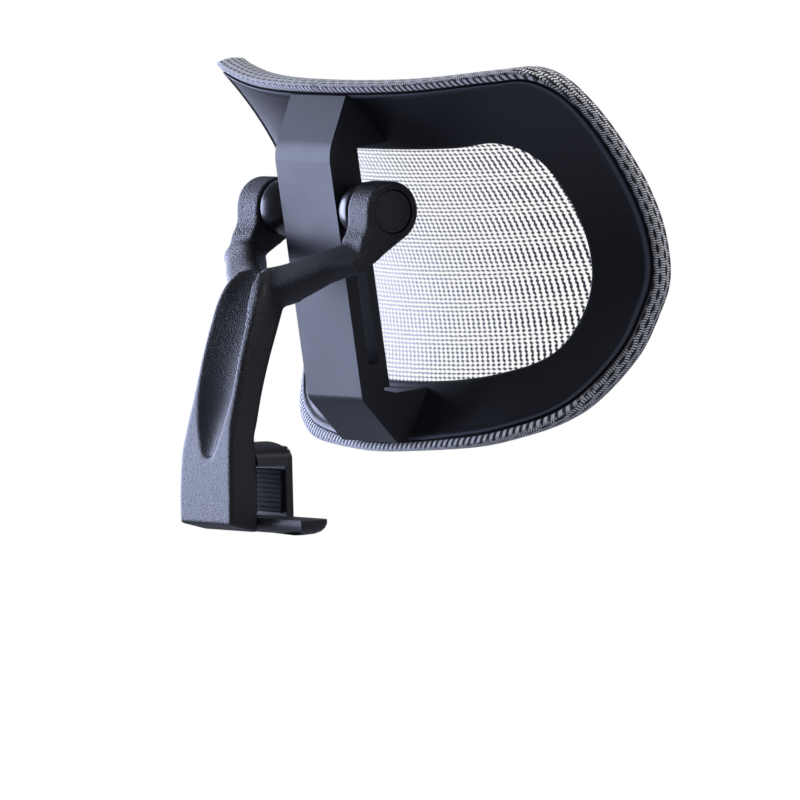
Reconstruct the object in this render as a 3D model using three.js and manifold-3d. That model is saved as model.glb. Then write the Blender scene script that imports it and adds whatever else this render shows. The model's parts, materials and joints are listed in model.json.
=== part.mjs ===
// Adjustable mesh headrest for an office chair. A forked arm clamps on the chair's top rail and
// carries the headrest on a friction pivot. Millimetres. +X is the sitter's left, -Y faces the
// head, +Z is up. The origin is the middle of the face that bears on the chair's rail.
import * as THREE from 'three';
import { mergeVertices } from 'three/addons/utils/BufferGeometryUtils.js';
import { ConvexGeometry } from 'three/addons/geometries/ConvexGeometry.js';
import Module from 'manifold-3d';

// ---- Driving dimensions ------------------------------------------------------------------

const GAP = 0.3; // clearance left between pieces that touch
const BIG = 200; // reach of a cutting tool that only has to clear the piece

// Rail clamp
const RAIL_DEPTH = 12;
const RAIL_HEIGHT = 21;
const PAD_THICKNESS = 1.5;
const FOOT_FRONT = PAD_THICKNESS + GAP;
const CLAMP_SCREW_X = 11;
const CLAMP_SCREW_Z = 16;
const CLAMP_SCREW_RADIUS = 1.9;

// Pivot: the axle lies along X
const AXLE_Y = -49.9;
const AXLE_Z = 123.4;
const AXLE_RADIUS = 3;
const AXLE_BORE = AXLE_RADIUS + GAP;
const BOSS_RADIUS = 13.5;
const BOSS_INNER_X = 35.2;
const BOSS_OUTER_X = 51.9;
const CAP_RADIUS = 9.7;
const CAP_THICKNESS = 2.4;
const CAP_SETBACK = 0.5;
const CAP_EDGE = 0.6;
const NUT_POCKET_RADIUS = 7.5;
const NUT_POCKET_DEPTH = 6;
const WASHER_THICKNESS = 0.7;
const WASHER_RADIUS = 11;
const DOME_RADIUS = 12.9;
const DOME_LENGTH = 14.5;
const DOME_RIM = 0.8;

// Headrest, in its own frame: x across, y rearwards, z up along the bar, origin on the axle
const HEAD_TILT = THREE.MathUtils.degToRad(9);
const BAR_HALF_WIDTH = 21.3;
const BAR_BACK = 9.5;
const BAR_FRONT = -3;
const BAR_WALL = 2.8;
const BAR_BACK_WALL = 3.05;
const CHANNEL_TOP = 22;
const CHANNEL_BOTTOM = -81.5;
const SLOT_TOP = 5;
const SLOT_BOTTOM = -69.5;
const SLOT_REAR = 3.4;
const WINDOW_TOP = 27; // the ring's upper inner edge beside the bar
const NOTCH_PITCH = 10;
const NOTCH_COUNT = 7;
const PLUNGER_Z = -9;
const PLUNGER_RADIUS = 2.3;

// Saddle that the ring's rear face lies on: how far forward it is at a place (x, z)
const SADDLE_REAR = 4.9;
const SADDLE_CUP_RADIUS = 217.5;
const SADDLE_BULGE = 30.9;
const SADDLE_MID_Z = -32;
const SADDLE_HALF_HEIGHT = 82.4;

// Ring, front frame and mesh, as depths forward of the saddle and offsets from the outline
const RING_THICKNESS = 2.4;
const LIP_HEIGHT = 1.2;
const LIP_WIDTH = 2.4;
const SIDE_DEPTH = 9.3;
const END_DEPTH = 12;
const FILM_CENTRE = 40;
const FRAME_INSET = 14;
const MESH_THICKNESS = 1.2;
const SIDE_OUTSET = 3;
const TOP_OUTSET = 4.8;
const BOTTOM_OUTSET = 5.6;

// ---- Solids ------------------------------------------------------------------------------

const wasm = await Module();
wasm.setup();

function toSolid(geometry) {
  const bare = geometry.clone();
  bare.deleteAttribute('normal');
  bare.deleteAttribute('uv');
  const merged = mergeVertices(bare, 1e-4);
  const mesh = new wasm.Mesh({
    numProp: 3,
    vertProperties: new Float32Array(merged.attributes.position.array),
    triVerts: new Uint32Array(merged.index.array),
  });
  return new wasm.Manifold(mesh);
}

function fromSolid(solid) {
  const mesh = solid.getMesh();
  const geometry = new THREE.BufferGeometry();
  geometry.setAttribute('position', new THREE.BufferAttribute(mesh.vertProperties, 3));
  geometry.setIndex(new THREE.BufferAttribute(mesh.triVerts, 1));
  geometry.computeVertexNormals();
  return geometry;
}

function join(...geometries) {
  return fromSolid(geometries.map(toSolid).reduce((whole, part) => whole.add(part)));
}

function cut(geometry, ...tools) {
  return fromSolid(tools.map(toSolid).reduce((rest, tool) => rest.subtract(tool), toSolid(geometry)));
}

// A box given by its lowest and highest corners
function block([x0, y0, z0], [x1, y1, z1]) {
  const geometry = new THREE.BoxGeometry(x1 - x0, y1 - y0, z1 - z0);
  return geometry.translate((x0 + x1) / 2, (y0 + y1) / 2, (z0 + z1) / 2);
}

// A cylinder along X from x0 to x1
function rodX(radius, x0, x1, y = 0, z = 0, sides = 32) {
  const geometry = new THREE.CylinderGeometry(radius, radius, Math.abs(x1 - x0), sides);
  return geometry.rotateZ(Math.PI / 2).translate((x0 + x1) / 2, y, z);
}

// A cylinder along Y from y0 to y1
function rodY(radius, y0, y1, x = 0, z = 0, sides = 14) {
  const geometry = new THREE.CylinderGeometry(radius, radius, Math.abs(y1 - y0), sides);
  return geometry.translate(x, (y0 + y1) / 2, z);
}

// A body turned about Y: profile points are (radius, y), listed from bottom to top
function turned(profile, sides = 16) {
  return new THREE.LatheGeometry(profile.map(([r, y]) => new THREE.Vector2(r, y)), sides);
}

// The same with a hole: the profile closes on itself
function turnedRing(inner, outer, y0, y1, sides = 16) {
  return turned([[inner, y0], [outer, y0], [outer, y1], [inner, y1], [inner, y0]], sides);
}

function hull(points) {
  return new ConvexGeometry(points.map(([x, y, z]) => new THREE.Vector3(x, y, z)));
}

// The hull of points that are repeated at +x and -x
function mirroredHull(points) {
  return hull(points.flatMap(([x, y, z]) => [[x, y, z], [-x, y, z]]));
}

function signedVolume(points, faces) {
  const normal = new THREE.Vector3();
  return faces.reduce((sum, [a, b, c]) => sum + points[a].dot(normal.crossVectors(points[b], points[c])), 0);
}

function closedBody(points, faces) {
  const outward = signedVolume(points, faces) > 0;
  const order = outward ? faces : faces.map(([a, b, c]) => [a, c, b]);
  const geometry = new THREE.BufferGeometry();
  geometry.setAttribute('position', new THREE.Float32BufferAttribute(points.flatMap((p) => p.toArray()), 3));
  geometry.setIndex(order.flat());
  geometry.computeVertexNormals();
  return geometry;
}

// Skin through sections with equal numbers of points. An open row of sections is capped at its
// two ends; a looped row joins its last section to its first.
function loft(sections, looped = false) {
  const sides = sections[0].length;
  const points = sections.flat();
  const faces = [];
  const spans = looped ? sections.length : sections.length - 1;
  for (let i = 0; i < spans; i += 1) {
    const j = (i + 1) % sections.length;
    for (let k = 0; k < sides; k += 1) {
      const l = (k + 1) % sides;
      faces.push([i * sides + k, j * sides + k, j * sides + l]);
      faces.push([i * sides + k, j * sides + l, i * sides + l]);
    }
  }
  if (!looped) {
    const last = (sections.length - 1) * sides;
    for (let k = 1; k < sides - 1; k += 1) {
      faces.push([0, k, k + 1]);
      faces.push([last, last + k + 1, last + k]);
    }
  }
  return closedBody(points, faces);
}

// ---- Scene -------------------------------------------------------------------------------

const headrestAttachment = new THREE.Group();
const head = new THREE.Group();
head.position.set(0, AXLE_Y, AXLE_Z);
head.rotation.x = -HEAD_TILT;
headrestAttachment.add(head);

function plastic(color, roughness) {
  return () => new THREE.MeshStandardMaterial({ color, roughness, metalness: 0 });
}

function metal(color, roughness) {
  return () => new THREE.MeshStandardMaterial({ color, roughness, metalness: 1 });
}

const armNylon = plastic(0x24252b, 0.55);
const shellPlastic = plastic(0x26272e, 0.42);
const glossBlack = plastic(0x101014, 0.15);
const capPlastic = plastic(0x202125, 0.5);
const padRubber = plastic(0x151517, 0.85);
const meshFabric = plastic(0xc4c6cf, 0.8);
const steel = metal(0xa8abb2, 0.35);
const brass = metal(0xc2a35a, 0.4);

function piece(name, geometry, material, parent = headrestAttachment) {
  const mesh = new THREE.Mesh(geometry, material());
  mesh.name = name;
  parent.add(mesh);
  return mesh;
}

// ---- Fork arm ----------------------------------------------------------------------------

// A level rounded-rectangle section; its lower edge may drop towards the front
function levelSection({ z, back, halfWidth, depth, drop = 0, corner = 3 }) {
  const front = back - depth;
  const points = [];
  const corners = [[1, 1], [-1, 1], [-1, -1], [1, -1]];
  corners.forEach(([sx, sy], quarter) => {
    for (let step = 0; step <= 2; step += 1) {
      const angle = (quarter + step / 2) * (Math.PI / 2);
      const x = sx * (halfWidth - corner) + corner * Math.cos(angle);
      const middle = (back + front) / 2;
      const y = middle + sy * (depth / 2 - corner) + corner * Math.sin(angle);
      points.push(new THREE.Vector3(x, y, z - (drop * (back - y)) / depth));
    }
  });
  return points;
}

const stem = loft([
  { z: -14.4, back: 16.5, halfWidth: 20.5, depth: 16.5 - FOOT_FRONT, drop: 3.6, corner: 1.2 },
  { z: 3, back: 16.5, halfWidth: 20.5, depth: 16.5 - FOOT_FRONT, corner: 1.2 },
  { z: 16.7, back: 16, halfWidth: 19.8, depth: 16 - FOOT_FRONT, corner: 1.6 },
  { z: 24, back: 15, halfWidth: 19, depth: 15 - FOOT_FRONT, corner: 2 },
  { z: 30, back: 14, halfWidth: 18.4, depth: 14.2, corner: 2 },
  { z: 44.4, back: 10.4, halfWidth: 17.8, depth: 14.2, corner: 2 },
  { z: 59, back: 6.9, halfWidth: 17.3, depth: 15.2, corner: 2 },
  { z: 72, back: 3, halfWidth: 16.9, depth: 16, corner: 2 },
  { z: 83, back: -0.6, halfWidth: 16.5, depth: 16.4, corner: 2.5 },
  { z: 91, back: -4.2, halfWidth: 15.2, depth: 16, corner: 4 },
  { z: 96.5, back: -8.2, halfWidth: 11.4, depth: 11.5, corner: 4 },
].map(levelSection));

// A prong sweeps out and forward from the stem's top, through its column's foot
const PRONG_SPINE = [[4, -12, 88.5], [15, -18, 91], [27, -25, 95.6], [38, -32.2, 99.8], [53, -40.2, 102.8]];
const PRONG_SPANS = 8;
const PRONG_SIDES = 12;
const PRONG_SQUARENESS = 0.5; // exponent of the section's superellipse
const PRONG_UPWARDS = new THREE.Vector3(0, 0.74, 0.67); // the section's second axis before it is squared up
const PRONG_HALF_WIDTHS = [7.6, 7.1];
const PRONG_HALF_HEIGHTS = [8.6, 8.2];

function squared(value) {
  return Math.sign(value) * Math.abs(value) ** PRONG_SQUARENESS;
}

function prong(side) {
  const spine = new THREE.CatmullRomCurve3(PRONG_SPINE.map(([x, y, z]) => new THREE.Vector3(side * x, y, z)));
  const sections = [];
  for (let i = 0; i <= PRONG_SPANS; i += 1) {
    const t = i / PRONG_SPANS;
    const centre = spine.getPointAt(t);
    const along = spine.getTangentAt(t);
    const across = PRONG_UPWARDS.clone().addScaledVector(along, -along.dot(PRONG_UPWARDS)).normalize();
    const upwards = new THREE.Vector3().crossVectors(along, across);
    const halfWidth = THREE.MathUtils.lerp(...PRONG_HALF_WIDTHS, t);
    const halfHeight = THREE.MathUtils.lerp(...PRONG_HALF_HEIGHTS, t);
    const section = [];
    for (let k = 0; k < PRONG_SIDES; k += 1) {
      const angle = ((k + 0.5) / PRONG_SIDES) * 2 * Math.PI;
      section.push(centre.clone()
        .addScaledVector(across, halfWidth * squared(Math.cos(angle)))
        .addScaledVector(upwards, halfHeight * squared(Math.sin(angle))));
    }
    sections.push(section);
  }
  return loft(sections);
}

// A column carries the boss: its flat sides are the boss's faces drawn down to the prong.
// Both outlines are y and z: the neck hangs from the boss, the foot swells where the prong runs in
const COLUMN_NECK = [[-36.4, 121], [-36.3, 116.5], [-44, 109.5], [-49.9, 114]];
const COLUMN_FOOT = [[-36.3, 116.5], [-33.6, 111.4], [-32.6, 108], [-31.8, 95.8], [-56.6, 111.9], [-49.9, 118]];
const BOSS_SIDES = 30;
const BORE_SIDES = 24;

function column(side) {
  const low = side * BOSS_INNER_X;
  const high = side * BOSS_OUTER_X;
  const boss = rodX(BOSS_RADIUS, low, high, AXLE_Y, AXLE_Z, BOSS_SIDES);
  const across = (outline) => hull(outline.flatMap(([y, z]) => [[low, y, z], [high, y, z]]));
  return join(boss, across(COLUMN_NECK), across(COLUMN_FOOT));
}

function besideArm(side) {
  const xs = [side * BOSS_OUTER_X, side * BIG].sort((a, b) => a - b);
  return block([xs[0], -BIG, -BIG], [xs[1], BIG, BIG]);
}

// The shallow hollow down the arm's back, as the tool that cuts it,
// as [z, y, half width] along its run
const HOLLOW_PATH = [
  [19, 20.4, 5], [30, 16.2, 9.5], [44.4, 11.2, 12.4], [59, 7.4, 12.4], [72, 3.5, 12], [84, -1, 10.5], [98, -7, 7],
];
const HOLLOW_HALF_DEPTH = 5;
const HOLLOW_OFFSET = 1.6; // to the arm's left
const HOLLOW_SIDES = 12;

function backHollow() {
  return loft(HOLLOW_PATH.map(([z, y, halfWidth]) => {
    const section = [];
    for (let k = 0; k < HOLLOW_SIDES; k += 1) {
      const angle = (k / HOLLOW_SIDES) * 2 * Math.PI;
      section.push(new THREE.Vector3(HOLLOW_OFFSET + halfWidth * Math.cos(angle), y + HOLLOW_HALF_DEPTH * Math.sin(angle), z));
    }
    return section;
  }));
}

function capPocket(side) {
  const floor = BOSS_OUTER_X - CAP_SETBACK - CAP_THICKNESS - GAP;
  return [
    rodX(CAP_RADIUS + GAP, side * floor, side * BIG, AXLE_Y, AXLE_Z, BOSS_SIDES),
    rodX(NUT_POCKET_RADIUS, side * (floor - NUT_POCKET_DEPTH), side * BIG, AXLE_Y, AXLE_Z, BORE_SIDES),
  ];
}

const INSERT_DEPTH = 8;
const INSERT_RADIUS = 3;
const SCREW_REACH = 9; // of a clamp screw into the foot
const TAB_X = 11;
const TAB_Z = -14.2;
const TAB_HALF_WIDTH = 4;
const TAB_HALF_HEIGHT = 1.6;
const TAB_REACH = 4;

function footCuts() {
  return [-1, 1].flatMap((side) => [
    rodY(INSERT_RADIUS + GAP, FOOT_FRONT - 1, FOOT_FRONT + INSERT_DEPTH + GAP, side * CLAMP_SCREW_X, CLAMP_SCREW_Z),
    rodY(CLAMP_SCREW_RADIUS + GAP, FOOT_FRONT, FOOT_FRONT + SCREW_REACH + 2, side * CLAMP_SCREW_X, CLAMP_SCREW_Z),
    block(
      [side * TAB_X - TAB_HALF_WIDTH - GAP, FOOT_FRONT - 1, TAB_Z - TAB_HALF_HEIGHT - GAP],
      [side * TAB_X + TAB_HALF_WIDTH + GAP, FOOT_FRONT + TAB_REACH, TAB_Z + TAB_HALF_HEIGHT + GAP],
    ),
  ]);
}

// What is cut away under a prong's end, along the line from its corner to the boss
const UNDER_SLOPE = [[-20, 88.1], [-75, 124], [-75, 60], [-20, 60]];

function underProng(side) {
  const slice = (x, drop) => UNDER_SLOPE.map(([y, z]) => [side * x, y, z - drop]);
  return [hull([...slice(24, 14), ...slice(38, GAP)]), hull([...slice(38, GAP), ...slice(70, GAP)])];
}

const armBlank = join(stem, prong(1), prong(-1), column(1), column(-1));
const forkArm = cut(
  armBlank,
  besideArm(1),
  besideArm(-1),
  ...underProng(1),
  ...underProng(-1),
  rodX(AXLE_BORE, -BIG, BIG, AXLE_Y, AXLE_Z, BORE_SIDES),
  ...capPocket(1),
  ...capPocket(-1),
  backHollow(),
  ...footCuts(),
);
piece('fork_arm', forkArm, armNylon);

const padHalfWidth = 17;
const padHalfHeight = RAIL_HEIGHT / 2 - 1;
piece('rear_jaw_pad', block([-padHalfWidth, 0, -padHalfHeight], [padHalfWidth, PAD_THICKNESS, padHalfHeight]), padRubber);

[['left', 1], ['right', -1]].forEach(([sideName, side]) => {
  const insert = turnedRing(CLAMP_SCREW_RADIUS + GAP, INSERT_RADIUS, FOOT_FRONT + 0.2, FOOT_FRONT + INSERT_DEPTH);
  insert.translate(side * CLAMP_SCREW_X, 0, CLAMP_SCREW_Z);
  piece(`clamp_insert_${sideName}`, insert, brass);
});

// ---- Front clamp jaw ---------------------------------------------------------------------

const JAW_PAD_REAR = -RAIL_DEPTH;
const JAW_PLATE_REAR = JAW_PAD_REAR - PAD_THICKNESS - GAP;
const JAW_PLATE_THICKNESS = 3.6;
const JAW_PLATE_FRONT = JAW_PLATE_REAR - JAW_PLATE_THICKNESS;
const JAW_BACK = FOOT_FRONT - GAP;
const JAW_WALL_Z = RAIL_HEIGHT / 2 + 0.8;
const JAW_ARCH_Z = 21;
const JAW_ARCH_HALF_WIDTH = 20;
const JAW_ARCH_SPRING_Z = 15;
const JAW_FLANGE_Z = -18;
const JAW_FLANGE_RIGHT = 53; // the flange reaches farther on the arm's right
const JAW_FLANGE_LEFT = 20;
const JAW_FLANGE_CORNER = 12;

function extrudedAlongY(shape, y0, y1) {
  const geometry = new THREE.ExtrudeGeometry(shape, { depth: y1 - y0, bevelEnabled: false, curveSegments: 8 });
  return geometry.rotateX(Math.PI / 2).translate(0, y1, 0);
}

function archShape(bottomZ) {
  const shape = new THREE.Shape();
  shape.moveTo(-JAW_ARCH_HALF_WIDTH, bottomZ);
  shape.lineTo(JAW_ARCH_HALF_WIDTH, bottomZ);
  shape.lineTo(JAW_ARCH_HALF_WIDTH - 1, JAW_ARCH_SPRING_Z);
  shape.quadraticCurveTo(JAW_ARCH_HALF_WIDTH - 2, JAW_ARCH_Z - 3, JAW_ARCH_HALF_WIDTH - 8, JAW_ARCH_Z - 1.5);
  shape.quadraticCurveTo(0, JAW_ARCH_Z + 2, 8 - JAW_ARCH_HALF_WIDTH, JAW_ARCH_Z - 1.5);
  shape.quadraticCurveTo(2 - JAW_ARCH_HALF_WIDTH, JAW_ARCH_Z - 3, 1 - JAW_ARCH_HALF_WIDTH, JAW_ARCH_SPRING_Z);
  shape.closePath();
  return shape;
}

function flangePlan() {
  const left = JAW_FLANGE_LEFT;
  const right = -JAW_FLANGE_RIGHT;
  const r = JAW_FLANGE_CORNER;
  const shape = new THREE.Shape();
  shape.moveTo(right, JAW_BACK);
  shape.lineTo(right, JAW_PLATE_FRONT + r);
  shape.quadraticCurveTo(right, JAW_PLATE_FRONT, right + r, JAW_PLATE_FRONT);
  shape.lineTo(left - r / 2, JAW_PLATE_FRONT);
  shape.quadraticCurveTo(left, JAW_PLATE_FRONT, left, JAW_PLATE_FRONT + r / 2);
  shape.lineTo(left, JAW_BACK);
  shape.closePath();
  return shape;
}

function clampBracket() {
  const flangeDepth = -JAW_FLANGE_Z - JAW_WALL_Z;
  const flange = new THREE.ExtrudeGeometry(flangePlan(), { depth: flangeDepth, bevelEnabled: false, curveSegments: 6 });
  flange.translate(0, 0, JAW_FLANGE_Z);
  const arch = extrudedAlongY(archShape(JAW_WALL_Z), JAW_PLATE_REAR - 1, JAW_BACK);
  const plate = extrudedAlongY(archShape(JAW_FLANGE_Z), JAW_PLATE_FRONT, JAW_PLATE_REAR);
  const tabs = [-1, 1].map((side) => block(
    [side * TAB_X - TAB_HALF_WIDTH, JAW_BACK - 1, TAB_Z - TAB_HALF_HEIGHT],
    [side * TAB_X + TAB_HALF_WIDTH, FOOT_FRONT + TAB_REACH - GAP, TAB_Z + TAB_HALF_HEIGHT],
  ));
  const bores = [-1, 1].map((side) => (
    rodY(CLAMP_SCREW_RADIUS + GAP, -BIG, BIG, side * CLAMP_SCREW_X, CLAMP_SCREW_Z)
  ));
  return cut(join(flange, arch, plate, ...tabs), ...bores);
}
piece('clamp_bracket', clampBracket(), armNylon);

const frontPad = block(
  [-padHalfWidth, JAW_PAD_REAR - PAD_THICKNESS, -padHalfHeight],
  [padHalfWidth, JAW_PAD_REAR, padHalfHeight],
);
piece('front_jaw_pad', frontPad, padRubber);

const SCREW_HEAD_RADIUS = 3.6;
const SCREW_HEAD_HEIGHT = 2.6;
const SOCKET_RADIUS = 1.4;
const SOCKET_DEPTH = 1.5;

[['left', 1], ['right', -1]].forEach(([sideName, side]) => {
  const headBack = JAW_PLATE_FRONT - GAP;
  const headFront = headBack - SCREW_HEAD_HEIGHT;
  const tip = FOOT_FRONT + SCREW_REACH;
  const screw = turned([
    [0, headFront], [SCREW_HEAD_RADIUS - 1, headFront], [SCREW_HEAD_RADIUS, headFront + 1.2],
    [SCREW_HEAD_RADIUS, headBack], [CLAMP_SCREW_RADIUS, headBack], [CLAMP_SCREW_RADIUS, tip], [0, tip],
  ]);
  const socket = new THREE.CylinderGeometry(SOCKET_RADIUS, SOCKET_RADIUS, 2 * SOCKET_DEPTH, 6).translate(0, headFront, 0);
  const finished = cut(screw, socket).translate(side * CLAMP_SCREW_X, 0, CLAMP_SCREW_Z);
  piece(`clamp_screw_${sideName}`, finished, steel);
});

// ---- Pivot -------------------------------------------------------------------------------

const pocketFloor = BOSS_OUTER_X - CAP_SETBACK - CAP_THICKNESS - GAP - NUT_POCKET_DEPTH;
const NUT_THICKNESS = 4.6;
const NUT_ACROSS_CORNERS = 11.6;

function hexPrismX(acrossCorners, x0, x1) {
  return rodX(acrossCorners / 2, x0, x1, AXLE_Y, AXLE_Z, 6);
}

piece('pivot_bolt', join(
  rodX(AXLE_RADIUS, -pocketFloor - GAP - NUT_THICKNESS, pocketFloor + 1, AXLE_Y, AXLE_Z, BORE_SIDES),
  hexPrismX(NUT_ACROSS_CORNERS, pocketFloor + GAP, pocketFloor + GAP + NUT_THICKNESS),
), steel);
piece('pivot_nut', cut(
  hexPrismX(NUT_ACROSS_CORNERS, -pocketFloor - GAP, -pocketFloor - GAP - NUT_THICKNESS),
  rodX(AXLE_BORE, -BIG, BIG, AXLE_Y, AXLE_Z, BORE_SIDES),
), steel);

[['left', 1], ['right', -1]].forEach(([sideName, side]) => {
  const outer = BOSS_OUTER_X - CAP_SETBACK;
  const cap = join(
    rodX(CAP_RADIUS, side * (outer - CAP_THICKNESS), side * (outer - CAP_EDGE), AXLE_Y, AXLE_Z, BOSS_SIDES),
    rodX(CAP_RADIUS - CAP_EDGE, side * (outer - CAP_THICKNESS), side * outer, AXLE_Y, AXLE_Z, BOSS_SIDES),
  );
  piece(`pivot_cap_${sideName}`, cap, capPlastic);
});

// Friction washers and domed collars fill the space between the bosses and the bar
function domeProfile() {
  const reach = BOSS_INNER_X - WASHER_THICKNESS - 2 * GAP - BAR_HALF_WIDTH - GAP - 0.1;
  const points = [[AXLE_BORE, 0], [DOME_RADIUS - DOME_RIM, 0], [DOME_RADIUS, DOME_RIM]];
  const steps = 6;
  for (let i = 1; i <= steps; i += 1) {
    const past = ((reach - DOME_RIM) * i) / steps;
    points.push([DOME_RADIUS * Math.sqrt(1 - (past / DOME_LENGTH) ** 2), DOME_RIM + past]);
  }
  points.push([AXLE_BORE, reach], [AXLE_BORE, 0]);
  return points;
}

[['left', 1], ['right', -1]].forEach(([sideName, side]) => {
  const washerInner = BOSS_INNER_X - GAP - WASHER_THICKNESS;
  const washer = turnedRing(AXLE_BORE, WASHER_RADIUS, washerInner, washerInner + WASHER_THICKNESS, 20).rotateZ(-side * (Math.PI / 2));
  washer.translate(0, AXLE_Y, AXLE_Z);
  piece(`friction_washer_${sideName}`, washer, steel);
  const dome = turned(domeProfile(), 26).rotateZ(side * (Math.PI / 2));
  dome.translate(side * (washerInner - GAP), AXLE_Y, AXLE_Z);
  piece(`dome_collar_${sideName}`, dome, glossBlack);
});

// ---- Height slider, inside the bar -------------------------------------------------------

const channelHalfWidth = BAR_HALF_WIDTH - BAR_WALL;
const channelBack = BAR_BACK - BAR_BACK_WALL;
const shoeThickness = 1;
const sliderHalfWidth = channelHalfWidth - shoeThickness - 2 * GAP;
const sliderFront = BAR_FRONT;
const sliderBack = channelBack - 0.5;
const sliderTop = 8;
const sliderBottom = -14;
const plungerBoreEnd = 4.3;

piece('slider_block', cut(
  block([-sliderHalfWidth, sliderFront, sliderBottom], [sliderHalfWidth, sliderBack, sliderTop]),
  rodX(AXLE_BORE, -BIG, BIG, 0, 0, 24),
  rodY(PLUNGER_RADIUS + GAP, sliderFront - 1, plungerBoreEnd, 0, PLUNGER_Z),
), capPlastic, head);

[['left', 1], ['right', -1]].forEach(([sideName, side]) => {
  const near = side * (sliderHalfWidth + GAP);
  const far = side * (sliderHalfWidth + GAP + shoeThickness);
  const shoe = cut(
    block([Math.min(near, far), sliderFront, sliderBottom], [Math.max(near, far), sliderBack, sliderTop]),
    rodX(AXLE_BORE, -BIG, BIG, 0, 0, 24),
  );
  piece(`slide_shoe_${sideName}`, shoe, padRubber, head);
});

const plungerTip = 1.6;
const plungerBack = 0.2;
piece('detent_plunger', turned([
  [0, -3.2 - plungerTip], [0.9, -3 - plungerTip], [1.7, -3.6], [PLUNGER_RADIUS, -2.4],
  [PLUNGER_RADIUS, plungerBack], [0, plungerBack],
]).translate(0, 0, PLUNGER_Z), steel, head);
const springLength = 2;
piece('detent_spring', turnedRing(1.3, 2.2, plungerBoreEnd - 0.2 - springLength, plungerBoreEnd - 0.2, 20)
  .translate(0, 0, PLUNGER_Z), steel, head);

// ---- Headrest outline --------------------------------------------------------------------

function saddle(x, z) {
  const rise = (z - SADDLE_MID_Z) / SADDLE_HALF_HEIGHT;
  return SADDLE_REAR + (x * x) / (2 * SADDLE_CUP_RADIUS) + SADDLE_BULGE * (1 - rise * rise);
}

function mirroredLoop(half) {
  const inner = half.slice(1, -1).reverse().map(([x, z]) => [-x, z]);
  const points = [...half, ...inner].map(([x, z]) => new THREE.Vector3(x, 0, z));
  return new THREE.CatmullRomCurve3(points, true, 'centripetal');
}

const outerHalf = [
  [0, 51], [60, 51.2], [104, 53.4], [118.5, 53.2], [126, 46], [131.2, 7.6], [133.2, -38],
  [128.5, -55], [120.6, -73], [102.5, -92.5], [75, -101.2], [42, -104.8], [0, -106.8],
];
const innerHalf = [
  [0, 23], [60, 22.8], [84, 24], [97, 17], [104.3, -4], [106.9, -38], [101, -58],
  [90, -71.4], [61.4, -79.5], [0, -82.5],
];
const STATIONS = 60;
const centre = new THREE.Vector3(0, 0, SADDLE_MID_Z);
const outerLine = mirroredLoop(outerHalf).getPoints(STATIONS).slice(0, STATIONS);
const innerLine = mirroredLoop(innerHalf).getPoints(240);

// Where the ray from the middle towards a point crosses a closed line
function crossing(line, towards) {
  const ray = towards.clone().sub(centre).normalize();
  for (let i = 0; i < line.length - 1; i += 1) {
    const a = line[i].clone().sub(centre);
    const b = line[i + 1].clone().sub(centre);
    const sideA = ray.x * a.z - ray.z * a.x;
    const sideB = ray.x * b.z - ray.z * b.x;
    if (sideA * sideB <= 0 && sideA !== sideB && a.dot(ray) > 0) {
      return centre.clone().add(a.lerp(b, sideA / (sideA - sideB)));
    }
  }
  return centre.clone();
}

const stations = outerLine.map((outer, i) => {
  const before = outerLine[(i + STATIONS - 1) % STATIONS];
  const after = outerLine[(i + 1) % STATIONS];
  const along = after.clone().sub(before).normalize();
  const outward = new THREE.Vector3(-along.z, 0, along.x);
  if (outward.dot(outer.clone().sub(centre)) < 0) outward.negate();
  const endOutset = outward.z > 0 ? TOP_OUTSET : BOTTOM_OUTSET;
  return {
    outer,
    inner: crossing(innerLine, outer),
    outward,
    meshOutset: THREE.MathUtils.lerp(SIDE_OUTSET, endOutset, Math.abs(outward.z)),
    edgeDepth: THREE.MathUtils.lerp(SIDE_DEPTH, END_DEPTH, Math.abs(outward.z)),
  };
});

// A point of a station's section, `inset` in from the outline and `depth` forward of the saddle
function ringPoint(station, inset, depth) {
  const inward = station.inner.clone().sub(station.outer).normalize();
  const p = inset < 0
    ? station.outer.clone().addScaledVector(station.outward, -inset)
    : station.outer.clone().addScaledVector(inward, inset);
  return new THREE.Vector3(p.x, -(saddle(p.x, p.z) + depth), p.z);
}

// The taut mesh: from its edge on the outline it eases to one depth in the middle
function filmPoint(station, inset, below = 0) {
  const reach = station.outer.clone().sub(centre).length();
  const share = Math.min(1, (reach - inset) / reach);
  const p = centre.clone().add(station.outer.clone().sub(centre).multiplyScalar(share));
  p.addScaledVector(station.outward, Math.max(0, -inset));
  const edge = saddle(station.outer.x, station.outer.z) + station.edgeDepth;
  const depth = FILM_CENTRE * (1 - share * share) + edge * share * share - below;
  return new THREE.Vector3(p.x, -depth, p.z);
}

// ---- Rear frame: ring with its bar -------------------------------------------------------

function ringSection(station) {
  const width = station.outer.distanceTo(station.inner);
  return [
    ringPoint(station, 0, RING_THICKNESS),
    ringPoint(station, 0, -LIP_HEIGHT),
    ringPoint(station, LIP_WIDTH, -LIP_HEIGHT),
    ringPoint(station, LIP_WIDTH + 0.8, 0),
    ringPoint(station, width / 2, 0),
    ringPoint(station, width, 0),
    ringPoint(station, width, RING_THICKNESS),
    ringPoint(station, width / 2, RING_THICKNESS),
  ];
}

const PLATE_SCREW_Z = [16, -77.6];
const PLATE_POST_RADIUS = 3.2;
const PLATE_SCREW_RADIUS = 1.5;
const PLATE_SCREW_END = 4.5;
const PLATE_HEAD_RADIUS = 2.8;
const PLATE_HEAD_HEIGHT = 1.4;
const FRAME_SCREWS = [[10, 41], [-10, 41], [10, -96], [-10, -96]];
const FRAME_SCREW_RADIUS = 1.3;
const FRAME_SCREW_HEAD = 2.6;

function frameScrewSeat(z) {
  return z > 0 ? -11 : -11.9;
}

// Where a gusset's foot runs into the ring's wall
function intoRing(x, z) {
  return [x, -(saddle(x, z) + 1), z];
}

function pushedAcross(halfWidth, outline) {
  return mirroredHull(outline.map(([y, z]) => [halfWidth, y, z]));
}

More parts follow.
